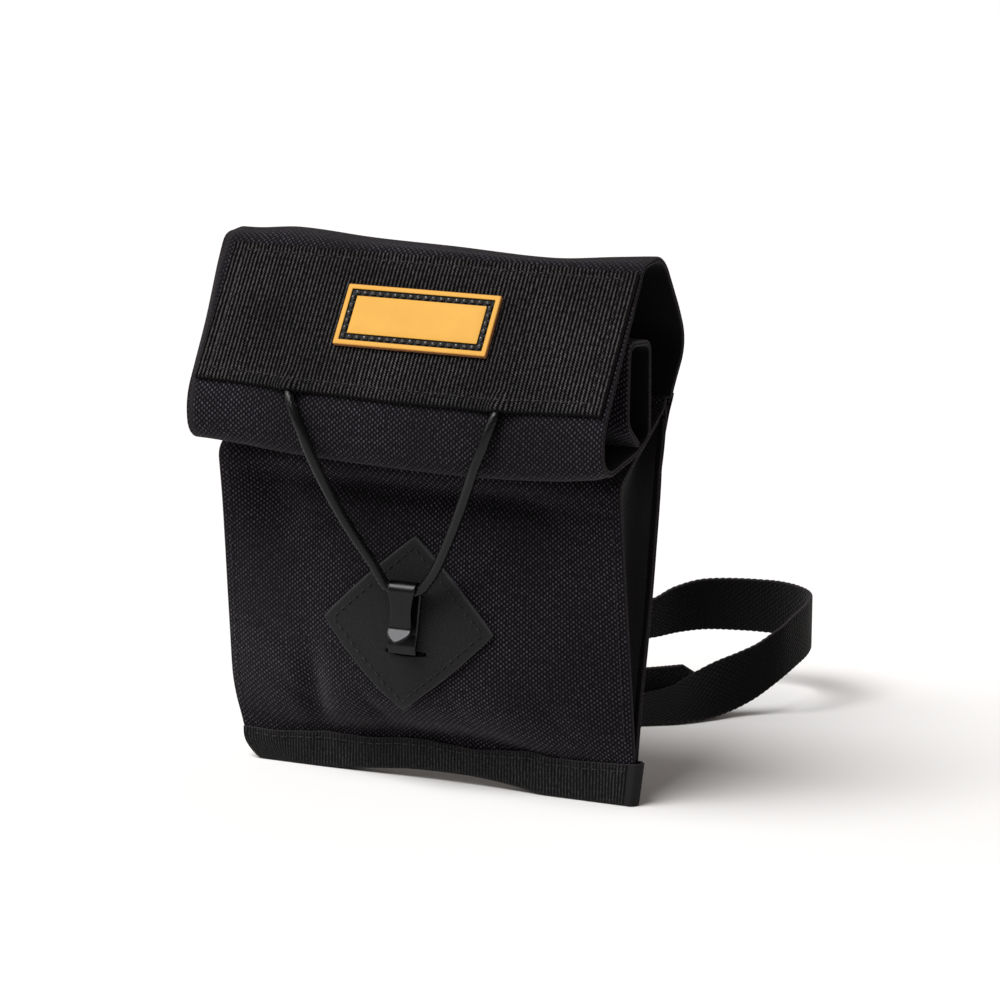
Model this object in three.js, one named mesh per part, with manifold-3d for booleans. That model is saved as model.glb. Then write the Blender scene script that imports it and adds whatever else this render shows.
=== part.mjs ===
// A small roll-top handlebar bag that stands on its bottom seam, its strap looped on the ground behind it.
// Millimetres, +Z up. The front faces -Y, and the bottom seam runs along X.

import * as THREE from "three";
import createManifold from "manifold-3d";

// Cloth and webbing thicknesses, and the clearance kept between two pieces.
const CLOTH = 1.3;
const ROLLED_CLOTH = 2;
const WEBBING = 1.6;
const BINDING_TAPE = 0.8;
const PATCH_LEATHER = 1.4;
const CLEARANCE = 0.3;

// Overall widths along X.
const BODY_WIDTH = 147;
const COLLAR_WIDTH = 152;
const BAND_WIDTH = 148;
const BINDING_WIDTH = 150;
const GUSSET_INSET = 2.2;
const GUSSET_REACH = { low: 0.1, high: 0.945 };

// The body's side view: each cloth runs straight between folds, and turns there with the given bend radius.
const FRONT_FOLDS = [
  { at: "hem", y: -0.8, z: 1.5 },
  { at: "seam", y: -0.8, z: 13, bend: 12 },
  { at: "knee", y: -17, z: 111, bend: 5 },
  { at: "mouth", y: 18.8, z: 131, bend: 4 },
  { at: "join", y: 20.65, z: 134.6 },
];
const BACK_FOLDS = [
  { at: "hem", y: 0.8, z: 1.5 },
  { at: "seam", y: 0.8, z: 13, bend: 12 },
  { at: "shoulder", y: 12.2, z: 112.5, bend: 8 },
  { at: "join", y: 22.07, z: 133.87 },
];
const ROLL_FOLDS = [
  { at: "join", y: 21.5, z: 134.5 },
  { at: "back bulge", y: 30.5, z: 152, bend: 14 },
  { at: "crown back", y: 16, z: 182.3, bend: 10 },
  { at: "crown front", y: -1.5, z: 181.2, bend: 7 },
  { at: "brow", y: -36, z: 131.5, bend: 18 },
  { at: "curl", y: -35, z: 116, bend: 7 },
  { at: "under", y: -9, z: 121, bend: 10 },
  { at: "heel", y: 4, z: 126, bend: 6 },
  { at: "inner back", y: 1.5, z: 160, bend: 5 },
  { at: "inner top", y: -14, z: 162, bend: 5 },
  { at: "inner front", y: -18, z: 141, bend: 15 },
  { at: "inner hem", y: -13.5, z: 125.5 },
];
const FRONT_RUN = 3;
const WEBBING_RUN = 2;

// How far the filled body swells out in the middle of each panel, by height.
const FRONT_BELLY = [
  { z: 13, out: 0 },
  { z: 21, out: 8 },
  { z: 30, out: 12.5 },
  { z: 45, out: 11.5 },
  { z: 60, out: 8.5 },
  { z: 80, out: 3.5 },
  { z: 100, out: 0 },
];
const BACK_BELLY = [
  { z: 13, out: 0 },
  { z: 35, out: 3 },
  { z: 60, out: 4 },
  { z: 95, out: 1.5 },
  { z: 108, out: 0 },
];

// Dents in the front cloth: where, how far they spread along X and Z, and how deep they go.
const FRONT_DENTS = [
  { x: -40, z: 27, wide: 8, tall: 9, deep: 2.4 },
  { x: -15, z: 21, wide: 8, tall: 7, deep: 1.6 },
  { x: 15, z: 20, wide: 10, tall: 6, deep: 2.0 },
  { x: 46, z: 24, wide: 10, tall: 8, deep: 1.4 },
  { x: -50, z: 92, wide: 17, tall: 13, deep: 3.2 },
  { x: 24, z: 96, wide: 20, tall: 9, deep: 1.5 },
];

// The bottom seam lifts off the ground between its two feet, and the crown of the roll sags along X.
const SEAM_LIFT = [
  { x: -58, lift: 0 },
  { x: -40, lift: 1.1 },
  { x: -14, lift: 2.8 },
  { x: 2, lift: 2.2 },
  { x: 14, lift: 1.3 },
  { x: 34, lift: 1.5 },
  { x: 46, lift: 0 },
];
const CROWN_LIFT = [
  { x: -76, lift: 0.5 },
  { x: -58, lift: 1.4 },
  { x: -30, lift: 0.1 },
  { x: 0, lift: -0.5 },
  { x: 36, lift: -1.9 },
  { x: 60, lift: 0.2 },
  { x: 76, lift: 0.4 },
];
const LIFT_TOP = 45;
const DENT_EASE = 5;
const CROWN_FADE = { fromY: -4, toY: 5, fromZ: 165, toZ: 178 };

// The folded tape round the bottom seam.
const BINDING_FOLDS = [
  { at: "front edge", y: -2.5, z: 12.6 },
  { at: "front foot", y: -2.5, z: BINDING_TAPE / 2, bend: 0.7 },
  { at: "back foot", y: 2.5, z: BINDING_TAPE / 2, bend: 0.7 },
  { at: "back edge", y: 2.5, z: 12.6 },
];

// The wide band on the roll, and the label on the band.
const BAND_HEIGHT = 50;
const LABEL = { width: 55, height: 21, thick: 1.8, corner: 1.2, up: 26.6 };
const LABEL_GROOVE = { inset: 1.9, wide: 2.2, deep: 0.6, innerCorner: 0.5 };

// The diamond patch, its slit and the hook that stands in it.
const DIAMOND = { x: -2, z: 57.8, halfWide: 31.3, halfTall: 30 };
const SLIT = { x: -1.4, z: 47.4, wide: 12.4, tall: 2.4 };
const HOOK_STRIP = 1.2;
const HOOK_WIDTH = 10;
const HOOK_WAIST = { width: 8, from: 0.55, to: 0.8, flareFrom: 0.85, flare: 0.5 };
const HOOK_FOLDS = [
  { at: "foot", y: -1.1, z: 0 },
  { at: "heel", y: 0.95, z: 0, bend: 1.2 },
  { at: "crown back", y: 0.95, z: 26, bend: 2.9 },
  { at: "crown front", y: 6.9, z: 26, bend: 2.9 },
  { at: "waist", y: 6.4, z: 9.5, bend: 6 },
  { at: "tip", y: 7.8, z: 4.5 },
];

// The elastic cord: from under the band, down to the hook and back up.
const CORD_DIAMETER = 3.6;
const CORD_SIDES = 10;
const CORD_STEPS = 60;
const CORD_ROUTE = [
  { x: -38.6, y: -35.9, z: 137.6 },
  { x: -34.6, y: -38.6, z: 130.5 },
  { x: -31.2, y: -39.2, z: 124 },
  { x: -28.8, y: -38.2, z: 117 },
  { x: -23.4, y: -33, z: 101.5 },
  { x: -17.7, y: -28.9, z: 89.3 },
  { x: -12, y: -25.1, z: 78.7 },
  { x: -9.8, y: -24, z: 74.3 },
  { x: -8, y: -23.4, z: 71.5 },
  { x: -5.2, y: -23.2, z: 70.3 },
  { x: 2.4, y: -23.2, z: 70.3 },
  { x: 5.2, y: -23.4, z: 71.5 },
  { x: 7.6, y: -24, z: 74.2 },
  { x: 10.8, y: -25.1, z: 78.4 },
  { x: 18.4, y: -29.6, z: 91.3 },
  { x: 28.1, y: -36.1, z: 110.6 },
  { x: 31, y: -38.2, z: 117 },
  { x: 34.2, y: -39.2, z: 124 },
  { x: 36.6, y: -38.6, z: 130.5 },
  { x: 38.6, y: -35.9, z: 137.6 },
];

// The webbing across the back, and the strap sewn to the back panel by its first stretch, where it stands a
// little proud of the swollen cloth. The strap's route is its lower edge's; its upper edge stands off that
// in the direction of the tip. The free end is cut at an angle, its upper corner short by some stops.
const BACK_WEBBING = { width: 148, height: 20, up: 2.6 };
const STRAP_WIDTH = 20;
const STRAP_THICK = 1.5;
const STRAP_CUT = { short: 1.1, over: 3 };
const STEPS_PER_STOP = 3;
const SEWN_STRETCH = { from: -32, to: -4, stops: 4, rise: 52, proud: 0.4 };
const STRAP_ROUTE = [
  { x: 8.5, y: 16.1, rise: 51.5, tipX: 0, tipY: 0.08 },
  { x: 11.5, y: 27.4, rise: 49.5, tipX: 0, tipY: 0.05 },
  { x: 5, y: 48.6, rise: 43.5, tipX: 0, tipY: 0 },
  { x: -5.9, y: 74.4, rise: 34, tipX: 0.07, tipY: -0.02 },
  { x: -12.3, y: 102.4, rise: 24.5, tipX: 0.17, tipY: -0.14 },
  { x: -10.3, y: 126.5, rise: 18.8, tipX: 0.24, tipY: -0.28 },
  { x: -0.4, y: 143.2, rise: 17, tipX: 0.23, tipY: -0.41 },
  { x: 12.8, y: 154.7, rise: 17.5, tipX: 0.18, tipY: -0.5 },
  { x: 20.5, y: 161.5, rise: 19, tipX: 0.06, tipY: -0.33 },
  { x: 28.7, y: 166.6, rise: 20, tipX: 0, tipY: -0.14 },
  { x: 38, y: 170.6, rise: 20, tipX: 0, tipY: -0.04 },
  { x: 49, y: 172.6, rise: 20, tipX: 0, tipY: 0 },
  { x: 61.3, y: 171, rise: 20, tipX: 0, tipY: 0 },
  { x: 70.5, y: 164.5, rise: 19.3, tipX: 0, tipY: 0 },
  { x: 73.5, y: 155.2, rise: 18, tipX: 0, tipY: 0 },
  { x: 72.4, y: 143.6, rise: 15, tipX: 0, tipY: 0 },
  { x: 69.1, y: 135.8, rise: 11, tipX: 0, tipY: 0 },
  { x: 64.2, y: 131, rise: 6.5, tipX: -0.02, tipY: 0 },
  { x: 58.2, y: 124.3, rise: 2.5, tipX: -0.08, tipY: 0.08 },
  { x: 52, y: 113.9, rise: 0.3, tipX: -0.22, tipY: 0.32 },
  { x: 45.2, y: 105, rise: 0, tipX: -0.36, tipY: 0.6 },
  { x: 36.5, y: 98.3, rise: 0, tipX: -0.42, tipY: 0.74 },
  { x: 19, y: 87.1, rise: 0, tipX: -0.27, tipY: 0.78 },
  { x: -0.4, y: 79.2, rise: 0, tipX: -0.05, tipY: 0.7 },
  { x: -19.7, y: 78, rise: 0, tipX: 0.24, tipY: 0.44 },
  { x: -32.8, y: 87.3, rise: 0, tipX: 0.42, tipY: 0.19 },
  { x: -32.4, y: 102.9, rise: 0, tipX: 0.45, tipY: -0.12 },
  { x: -20.4, y: 115.1, rise: 0, tipX: 0.32, tipY: -0.45 },
  { x: -2.3, y: 123.5, rise: 0, tipX: 0.28, tipY: -0.6 },
  { x: 14.5, y: 130.2, rise: 0, tipX: 0.29, tipY: -0.62 },
  { x: 27, y: 138.7, rise: 0, tipX: 0.28, tipY: -0.6 },
  { x: 38.5, y: 149, rise: 0, tipX: 0.26, tipY: -0.56 },
];

/** A surface finish of one colour. */
function finish(name, color, roughness, metalness = 0) {
  return new THREE.MeshStandardMaterial({ name, color, roughness, metalness });
}

const CANVAS = finish("coated_canvas", 0x1d1a1f, 0.85);
const BLACK_WEBBING = finish("webbing", 0x1b1b1b, 0.8);
const TAPE = finish("grosgrain", 0x191919, 0.8);
const LABEL_RUBBER = finish("label", 0xefae4e, 0.6);
const ELASTIC = finish("elastic_cord", 0x151515, 0.75);
const LEATHER = finish("synthetic_leather", 0x242226, 0.7);
const BLACK_METAL = finish("black_metal", 0x2a2a2c, 0.35, 0.9);

/** A smooth curve through table rows, level beyond both ends: gives the value at a position. */
function curveThrough(rows, at, value) {
  const last = rows.length - 1;
  const slopeAt = (i) => {
    if (i === 0 || i === last) return 0;
    return (rows[i + 1][value] - rows[i - 1][value]) / (rows[i + 1][at] - rows[i - 1][at]);
  };
  return (position) => {
    if (position <= rows[0][at]) return rows[0][value];
    if (position >= rows[last][at]) return rows[last][value];
    const i = rows.findIndex((row) => row[at] > position) - 1;
    const span = rows[i + 1][at] - rows[i][at];
    const s = (position - rows[i][at]) / span;
    const rise = rows[i + 1][value] - rows[i][value];
    const startPull = slopeAt(i) * span * s * (1 - s) ** 2;
    const endPull = slopeAt(i + 1) * span * s ** 2 * (1 - s);
    return rows[i][value] + rise * (3 * s ** 2 - 2 * s ** 3) + startPull - endPull;
  };
}

/** A side-view path of straight runs through the folds, each fold rounded by its bend radius. */
function foldedPath(folds) {
  const corners = folds.map((fold) => new THREE.Vector2(fold.y, fold.z));
  const path = new THREE.Path();
  const runs = [];
  let from = corners[0];
  path.moveTo(from.x, from.y);
  for (let i = 1; i < corners.length - 1; i++) {
    const into = corners[i].clone().sub(corners[i - 1]).normalize();
    const away = corners[i + 1].clone().sub(corners[i]).normalize();
    const turn = into.angleTo(away);
    const side = Math.sign(into.cross(away));
    const cut = folds[i].bend * Math.tan(turn / 2);
    const start = corners[i].clone().addScaledVector(into, -cut);
    const inward = new THREE.Vector2(-into.y, into.x).multiplyScalar(side * folds[i].bend);
    const centre = start.clone().add(inward);
    const angle = start.clone().sub(centre).angle();
    path.lineTo(start.x, start.y);
    path.absarc(centre.x, centre.y, folds[i].bend, angle, angle + side * turn, side < 0);
    runs.push({ start: from, end: start });
    from = corners[i].clone().addScaledVector(away, cut);
  }
  const end = corners[corners.length - 1];
  path.lineTo(end.x, end.y);
  runs.push({ start: from, end });
  return { path, runs };
}

/** Stations from 0 to 1 along a folded path: close together round the bends, wider on the straight runs. */
function alongFolds(path, longest, turnStep = Math.PI / 9) {
  const lengths = path.getCurveLengths();
  const whole = lengths[lengths.length - 1];
  const stations = [0];
  path.curves.forEach((curve, i) => {
    const start = i === 0 ? 0 : lengths[i - 1];
    const length = lengths[i] - start;
    if (length < 1e-6) return;
    const stepsByLength = length / longest;
    const stepsByTurn = curve.xRadius ? length / curve.xRadius / turnStep : 0;
    const steps = Math.ceil(Math.max(stepsByLength, stepsByTurn));
    for (let k = 1; k <= steps; k++) stations.push((start + (length * k) / steps) / whole);
  });
  return stations;
}

/** Even stations from 0 to 1. */
function evenly(steps) {
  return Array.from({ length: steps + 1 }, (_, i) => i / steps);
}

/** The unit normal of a surface at u, v, from its two tangents. */
function facing(surface, u, v) {
  const step = 1e-3;
  const across = surface(Math.min(u + step, 1), v).sub(surface(Math.max(u - step, 0), v));
  const along = surface(u, Math.min(v + step, 1)).sub(surface(u, Math.max(v - step, 0)));
  return across.cross(along).normalize();
}

/** A surface that lies a given distance off another one, along its normal. */
function offset(surface, distance) {
  return (u, v) => surface(u, v).addScaledVector(facing(surface, u, v), distance);
}

/** A closed sheet of even thickness about a surface, on a grid of u and v stations. */
function sheet(us, vs, thickness, surface) {
  const points = [];
  for (const half of [thickness / 2, -thickness / 2]) {
    const skin = offset(surface, half);
    for (const v of vs) for (const u of us) points.push(skin(u, v));
  }
  const behind = us.length * vs.length;
  const node = (i, j) => j * us.length + i;
  const faces = [];
  for (let j = 0; j + 1 < vs.length; j++) {
    for (let i = 0; i + 1 < us.length; i++) {
      const quad = [node(i, j), node(i + 1, j), node(i + 1, j + 1), node(i, j + 1)];
      faces.push(quad[0], quad[1], quad[2], quad[0], quad[2], quad[3]);
      faces.push(...[quad[0], quad[2], quad[1], quad[0], quad[3], quad[2]].map((n) => n + behind));
    }
  }
  const right = us.length - 1;
  const top = vs.length - 1;
  const rim = [];
  for (let i = 0; i < right; i++) rim.push(node(i, 0));
  for (let j = 0; j < top; j++) rim.push(node(right, j));
  for (let i = right; i > 0; i--) rim.push(node(i, top));
  for (let j = top; j > 0; j--) rim.push(node(0, j));
  rim.forEach((p, k) => {
    const q = rim[(k + 1) % rim.length];
    faces.push(p, p + behind, q + behind, p, q + behind, q);
  });
  const geometry = new THREE.BufferGeometry().setFromPoints(points);
  geometry.setIndex(faces);
  return geometry;
}

const manifold = await createManifold();
manifold.setup();

/** One solid cut out of another. */
function carve(body, tool) {
  const [kept, cut] = [body, tool].map((geometry) => {
    const welded = new Map();
    const vertices = [];
    const position = geometry.getAttribute("position");
    const corners = Array.from({ length: position.count }, (_, i) => {
      const point = new THREE.Vector3().fromBufferAttribute(position, i);
      const key = point.toArray().map((value) => Math.round(value * 1e4)).join(",");
      if (!welded.has(key)) {
        welded.set(key, vertices.length / 3);
        vertices.push(...point.toArray());
      }
      return welded.get(key);
    });
    const faces = geometry.index ? Array.from(geometry.index.array, (i) => corners[i]) : corners;
    const vertProperties = new Float32Array(vertices);
    const triVerts = new Uint32Array(faces);
    return new manifold.Manifold(new manifold.Mesh({ numProp: 3, vertProperties, triVerts }));
  });
  const result = kept.subtract(cut).getMesh();
  const geometry = new THREE.BufferGeometry();
  geometry.setAttribute("position", new THREE.BufferAttribute(Float32Array.from(result.vertProperties), 3));
  geometry.setIndex(Array.from(result.triVerts));
  return geometry;
}

const seamLift = curveThrough(SEAM_LIFT, "x", "lift");
const crownLift = curveThrough(CROWN_LIFT, "x", "lift");
const frontBelly = curveThrough(FRONT_BELLY, "z", "out");
const backBelly = curveThrough(BACK_BELLY, "z", "out");
const front = foldedPath(FRONT_FOLDS);
const back = foldedPath(BACK_FOLDS);
const roll = foldedPath(ROLL_FOLDS);
const FOLD = Object.fromEntries(FRONT_FOLDS.map((fold) => [fold.at, fold]));
const BACK = Object.fromEntries(BACK_FOLDS.map((fold) => [fold.at, fold]));

/** The share of a panel's swelling at x: all of it in the middle, none at the side seams. */
const swell = (x) => 1 - (x / (BODY_WIDTH / 2)) ** 2;

/** A height on the body after the seam's lift, which fades out above the base. */
const lifted = (x, z) => z + seamLift(x) * (1 - THREE.MathUtils.smoothstep(z, FOLD.seam.z, LIFT_TOP));

/** A point of the front cloth: the side-view point, swollen and dented at x. */
function frontCloth(x, y, z) {
  let dent = 0;
  for (const hollow of FRONT_DENTS) {
    const reach = ((x - hollow.x) / hollow.wide) ** 2 + ((z - hollow.z) / hollow.tall) ** 2;
    dent += hollow.deep * Math.exp(-reach);
  }
  dent *= THREE.MathUtils.smoothstep(z, FOLD.seam.z, FOLD.seam.z + DENT_EASE);
  return new THREE.Vector3(x, y - (frontBelly(z) - dent) * swell(x), lifted(x, z));
}

/** A point of the back cloth: the side-view point, swollen at x. */
function backCloth(x, y, z) {
  return new THREE.Vector3(x, y + backBelly(z) * swell(x), lifted(x, z));
}

/** The straight side-view line of a panel between its seam and the fold above: y at a height. */
const panelLine = (low, high, z) => low.y + ((high.y - low.y) * (z - low.z)) / (high.z - low.z);

// The two panels.
function frontPanel() {
  const surface = (u, v) => {
    const p = front.path.getPoint(v);
    return frontCloth((u - 0.5) * BODY_WIDTH, p.x, p.y);
  };
  return sheet(evenly(18), alongFolds(front.path, 6), CLOTH, surface);
}

function backPanel() {
  const surface = (u, v) => {
    const p = back.path.getPoint(v);
    return backCloth((u - 0.5) * BODY_WIDTH, p.x, p.y);
  };
  return sheet(evenly(10), alongFolds(back.path, 11), CLOTH, surface);
}

// A wedge of cloth between the side edges of the panels, ruled from the front path to the back path. It
// reaches from a low share of the paths to a high one.
function sideGusset(side) {
  const x = side * (BODY_WIDTH / 2 - GUSSET_INSET);
  const clear = CLOTH / 2 + CLEARANCE;
  const { low, high } = GUSSET_REACH;
  const surface = (u, v) => {
    const t = low + (high - low) * v;
    const inFront = front.path.getPoint(t);
    const frontWay = front.path.getTangent(t);
    const behind = back.path.getPoint(t);
    const backWay = back.path.getTangent(t);
    const start = frontCloth(x, inFront.x + clear * frontWay.y, inFront.y - clear * frontWay.x);
    const end = backCloth(x, behind.x - clear * backWay.y, behind.y + clear * backWay.x);
    return start.lerp(end, u);
  };
  const stations = alongFolds(front.path, 8).filter((t) => t > low && t < high);
  const vs = [0, ...stations.map((t) => (t - low) / (high - low)), 1];
  return sheet(evenly(3), vs, CLOTH, surface);
}

// The rolled mouth. Its crown rises and sags along X; the flat front under the band stays flat.
function rollCollar() {
  const surface = (u, v) => {
    const x = (u - 0.5) * COLLAR_WIDTH;
    const p = roll.path.getPoint(v);
    const behindBand = THREE.MathUtils.smoothstep(p.x, CROWN_FADE.fromY, CROWN_FADE.toY);
    const nearTop = THREE.MathUtils.smoothstep(p.y, CROWN_FADE.fromZ, CROWN_FADE.toZ);
    return new THREE.Vector3(x, p.x, p.y + crownLift(x) * behindBand * nearTop);
  };
  return sheet(evenly(10), alongFolds(roll.path, 12, Math.PI / 7), ROLLED_CLOTH, surface);
}

// The tape folded round the bottom seam.
function bottomBinding() {
  const section = foldedPath(BINDING_FOLDS).path;
  const surface = (u, v) => {
    const x = (u - 0.5) * BINDING_WIDTH;
    const p = section.getPoint(v);
    return new THREE.Vector3(x, p.x, p.y + seamLift(x));
  };
  return sheet(evenly(30), alongFolds(section, 12, Math.PI / 4), BINDING_TAPE, surface);
}

// The flat front of the roll: its lower end, and the directions up along it and out of it.
const frontRun = roll.runs[FRONT_RUN];
const runFoot = new THREE.Vector3(0, frontRun.end.x, frontRun.end.y);
const runUp = new THREE.Vector3(0, frontRun.start.x, frontRun.start.y).sub(runFoot).normalize();
const runOut = new THREE.Vector3(0, -runUp.z, runUp.y);

/** A point on the front of the roll: along X, up from the band's foot, and out from the cloth's middle. */
function onRoll(x, up, out) {
  return new THREE.Vector3(x, 0, 0).add(runFoot).addScaledVector(runUp, up).addScaledVector(runOut, out);
}

const BAND_MIDDLE = ROLLED_CLOTH / 2 + CLEARANCE + WEBBING / 2;

function webbingBand() {
  const surface = (u, v) => onRoll((u - 0.5) * BAND_WIDTH, v * BAND_HEIGHT, BAND_MIDDLE);
  return sheet(evenly(4), evenly(2), WEBBING, surface);
}

/** A rectangle with rounded corners, centred on the origin. */
function roundedRectangle(width, height, corner) {
  const [right, top] = [width / 2, height / 2];
  const shape = new THREE.Shape();
  shape.absarc(right - corner, top - corner, corner, 0, Math.PI / 2);
  shape.absarc(corner - right, top - corner, corner, Math.PI / 2, Math.PI);
  shape.absarc(corner - right, corner - top, corner, Math.PI, 1.5 * Math.PI);
  shape.absarc(right - corner, corner - top, corner, 1.5 * Math.PI, 2 * Math.PI);
  return shape;
}

// The label: a plate with a sunken groove for its stitches, set on the band.
function labelPatch() {
  const extrusion = { bevelEnabled: false, curveSegments: 4 };
  const outline = roundedRectangle(LABEL.width, LABEL.height, LABEL.corner);
  const plate = new THREE.ExtrudeGeometry(outline, { ...extrusion, depth: LABEL.thick });
  const { inset, wide, deep, innerCorner } = LABEL_GROOVE;
  const insetOutline = (by, corner) => roundedRectangle(LABEL.width - 2 * by, LABEL.height - 2 * by, corner);
  const ring = insetOutline(inset, LABEL.corner);
  ring.holes.push(insetOutline(inset + wide, innerCorner));
  const groove = new THREE.ExtrudeGeometry(ring, { ...extrusion, depth: 2 * deep });
  groove.translate(0, 0, LABEL.thick - deep);
  const label = carve(plate, groove);
  const seat = onRoll(0, LABEL.up, BAND_MIDDLE + WEBBING / 2 + CLEARANCE);
  const stand = new THREE.Matrix4().makeBasis(new THREE.Vector3(1, 0, 0), runUp, runOut).setPosition(seat);
  return label.applyMatrix4(stand);
}

/** A point off the front panel: at x and a height on the panel, out from the middle of its cloth. */
function overFront(x, z, out) {
  const height = FOLD.knee.z;
  const surface = (u, v) => {
    return frontCloth((u - 0.5) * BODY_WIDTH, panelLine(FOLD.seam, FOLD.knee, v * height), v * height);
  };
  return offset(surface, out)(x / BODY_WIDTH + 0.5, z / height);
}

const PATCH_MIDDLE = CLOTH / 2 + CLEARANCE + PATCH_LEATHER / 2;
const PATCH_FACE = PATCH_MIDDLE + PATCH_LEATHER / 2;

// Where the hook stands: on the patch at the slit, up along the patch and out of it.
const hookSeat = overFront(SLIT.x, SLIT.z, PATCH_FACE);
const hookUp = overFront(SLIT.x, SLIT.z + 4, PATCH_FACE).sub(hookSeat).setX(0).normalize();
const hookOut = new THREE.Vector3(0, -hookUp.z, hookUp.y);

function diamondPatch() {
  const surface = (u, v) => {
    const x = DIAMOND.x + (u + v - 1) * DIAMOND.halfWide;
    const z = DIAMOND.z + (v - u) * DIAMOND.halfTall;
    return overFront(x, z, PATCH_MIDDLE);
  };
  const leather = sheet(evenly(9), evenly(9), PATCH_LEATHER, surface);
  const slit = new THREE.BoxGeometry(SLIT.wide, 4 * PATCH_LEATHER, SLIT.tall);
  slit.translate(hookSeat.x, hookSeat.y, hookSeat.z);
  return carve(leather, slit);
}

// The hook: one strip, bent from the slit up over the cord and down to a flared tip, narrower at its waist.
function cordHook() {
  const bent = foldedPath(HOOK_FOLDS).path;
  const surface = (u, v) => {
    const p = bent.getPoint(v);
    const flare = HOOK_WAIST.flare * THREE.MathUtils.smoothstep(v, HOOK_WAIST.flareFrom, 1);
    const slim = THREE.MathUtils.smoothstep(v, HOOK_WAIST.from, HOOK_WAIST.to) * (1 - flare);
    const width = HOOK_WIDTH + (HOOK_WAIST.width - HOOK_WIDTH) * slim;
    const point = hookSeat.clone().addScaledVector(hookOut, p.x).addScaledVector(hookUp, p.y);
    return point.setX(hookSeat.x + (u - 0.5) * width);
  };
  return sheet(evenly(2), alongFolds(bent, 6, Math.PI / 8), HOOK_STRIP, surface);
}

// The elastic cord.
function shockCord() {
  const route = new THREE.CatmullRomCurve3(CORD_ROUTE.map(({ x, y, z }) => new THREE.Vector3(x, y, z)));
  const ring = evenly(CORD_SIDES).slice(0, CORD_SIDES).map((share) => {
    const angle = share * 2 * Math.PI;
    return new THREE.Vector2(Math.cos(angle), Math.sin(angle)).multiplyScalar(CORD_DIAMETER / 2);
  });
  return new THREE.ExtrudeGeometry(new THREE.Shape(ring), { steps: CORD_STEPS, extrudePath: route });
}

// The webbing sewn flat across the back, below the roll.
function backWebbing() {
  const run = back.runs[WEBBING_RUN];
  const way = run.end.clone().sub(run.start).normalize();
  const out = CLOTH / 2 + CLEARANCE + WEBBING / 2;
  const surface = (u, v) => {
    const p = run.start.clone().addScaledVector(way, BACK_WEBBING.up + v * BACK_WEBBING.height);
    return new THREE.Vector3((0.5 - u) * BACK_WEBBING.width, p.x + out * way.y, p.y - out * way.x);
  };
  return sheet(evenly(4), evenly(2), WEBBING, surface);
}

// The strap: a sewn stretch against the back panel, then the free way round to its angled end.
function strapLoop() {
  const { from, to, stops, rise, proud } = SEWN_STRETCH;
  const clear = CLOTH / 2 + CLEARANCE + STRAP_THICK / 2 + proud;
  const againstBack = (x, z) => backCloth(x, panelLine(BACK.seam, BACK.shoulder, z), z).y + clear;
  const sewn = evenly(stops).map((share) => {
    const x = from + (to - from) * share;
    const lean = (againstBack(x, rise + STRAP_WIDTH) - againstBack(x, rise)) / STRAP_WIDTH;
    return { x, y: againstBack(x, rise), rise, tipX: 0, tipY: lean };
  });
  const route = [...sewn, ...STRAP_ROUTE];
  const edgePoints = route.map((stop) => new THREE.Vector3(stop.x, stop.y, stop.rise));
  const tipPoints = route.map((stop) => new THREE.Vector3(stop.tipX, stop.tipY, 0));
  const lowerEdge = new THREE.CatmullRomCurve3(edgePoints);
  const tips = new THREE.CatmullRomCurve3(tipPoints);
  const gaps = route.length - 1;
  const surface = (u, v) => {
    const nearEnd = Math.max(1 - (gaps * (1 - u)) / STRAP_CUT.over, 0);
    const t = u - (STRAP_CUT.short / gaps) * v * nearEnd;
    const edge = lowerEdge.getPoint(t);
    const tip = tips.getPoint(t);
    const lean = Math.hypot(tip.x, tip.y);
    tip.setZ(Math.sqrt(1 - lean ** 2));
    return edge.setZ(Math.max(edge.z, 0) + (STRAP_THICK / 2) * lean).addScaledVector(tip, STRAP_WIDTH * v);
  };
  return sheet(evenly(STEPS_PER_STOP * gaps), evenly(1), STRAP_THICK, surface);
}

const bag = new THREE.Group();
bag.name = "handlebar_bag";

/** Adds a named piece to the bag. */
function add(name, geometry, material) {
  const mesh = new THREE.Mesh(geometry, material);
  mesh.name = name;
  bag.add(mesh);
}

add("front_panel", frontPanel(), CANVAS);
add("back_panel", backPanel(), CANVAS);
add("side_gusset_left", sideGusset(-1), CANVAS);
add("side_gusset_right", sideGusset(1), CANVAS);
add("roll_collar", rollCollar(), CANVAS);
add("bottom_binding", bottomBinding(), TAPE);
add("webbing_band", webbingBand(), BLACK_WEBBING);
add("label_patch", labelPatch(), LABEL_RUBBER);
add("diamond_patch", diamondPatch(), LEATHER);
add("cord_hook", cordHook(), BLACK_METAL);
add("shock_cord", shockCord(), ELASTIC);
add("back_webbing", backWebbing(), BLACK_WEBBING);
add("strap", strapLoop(), BLACK_WEBBING);

// The origin is the middle of the footprint, on the ground.
const box = new THREE.Box3().setFromObject(bag);
const middle = box.getCenter(new THREE.Vector3());
for (const piece of bag.children) piece.geometry.translate(-middle.x, -middle.y, -box.min.z);

export default bag;
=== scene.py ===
from functools import partial

import bpy
import numpy as np
from mathutils import Matrix, Vector


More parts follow.
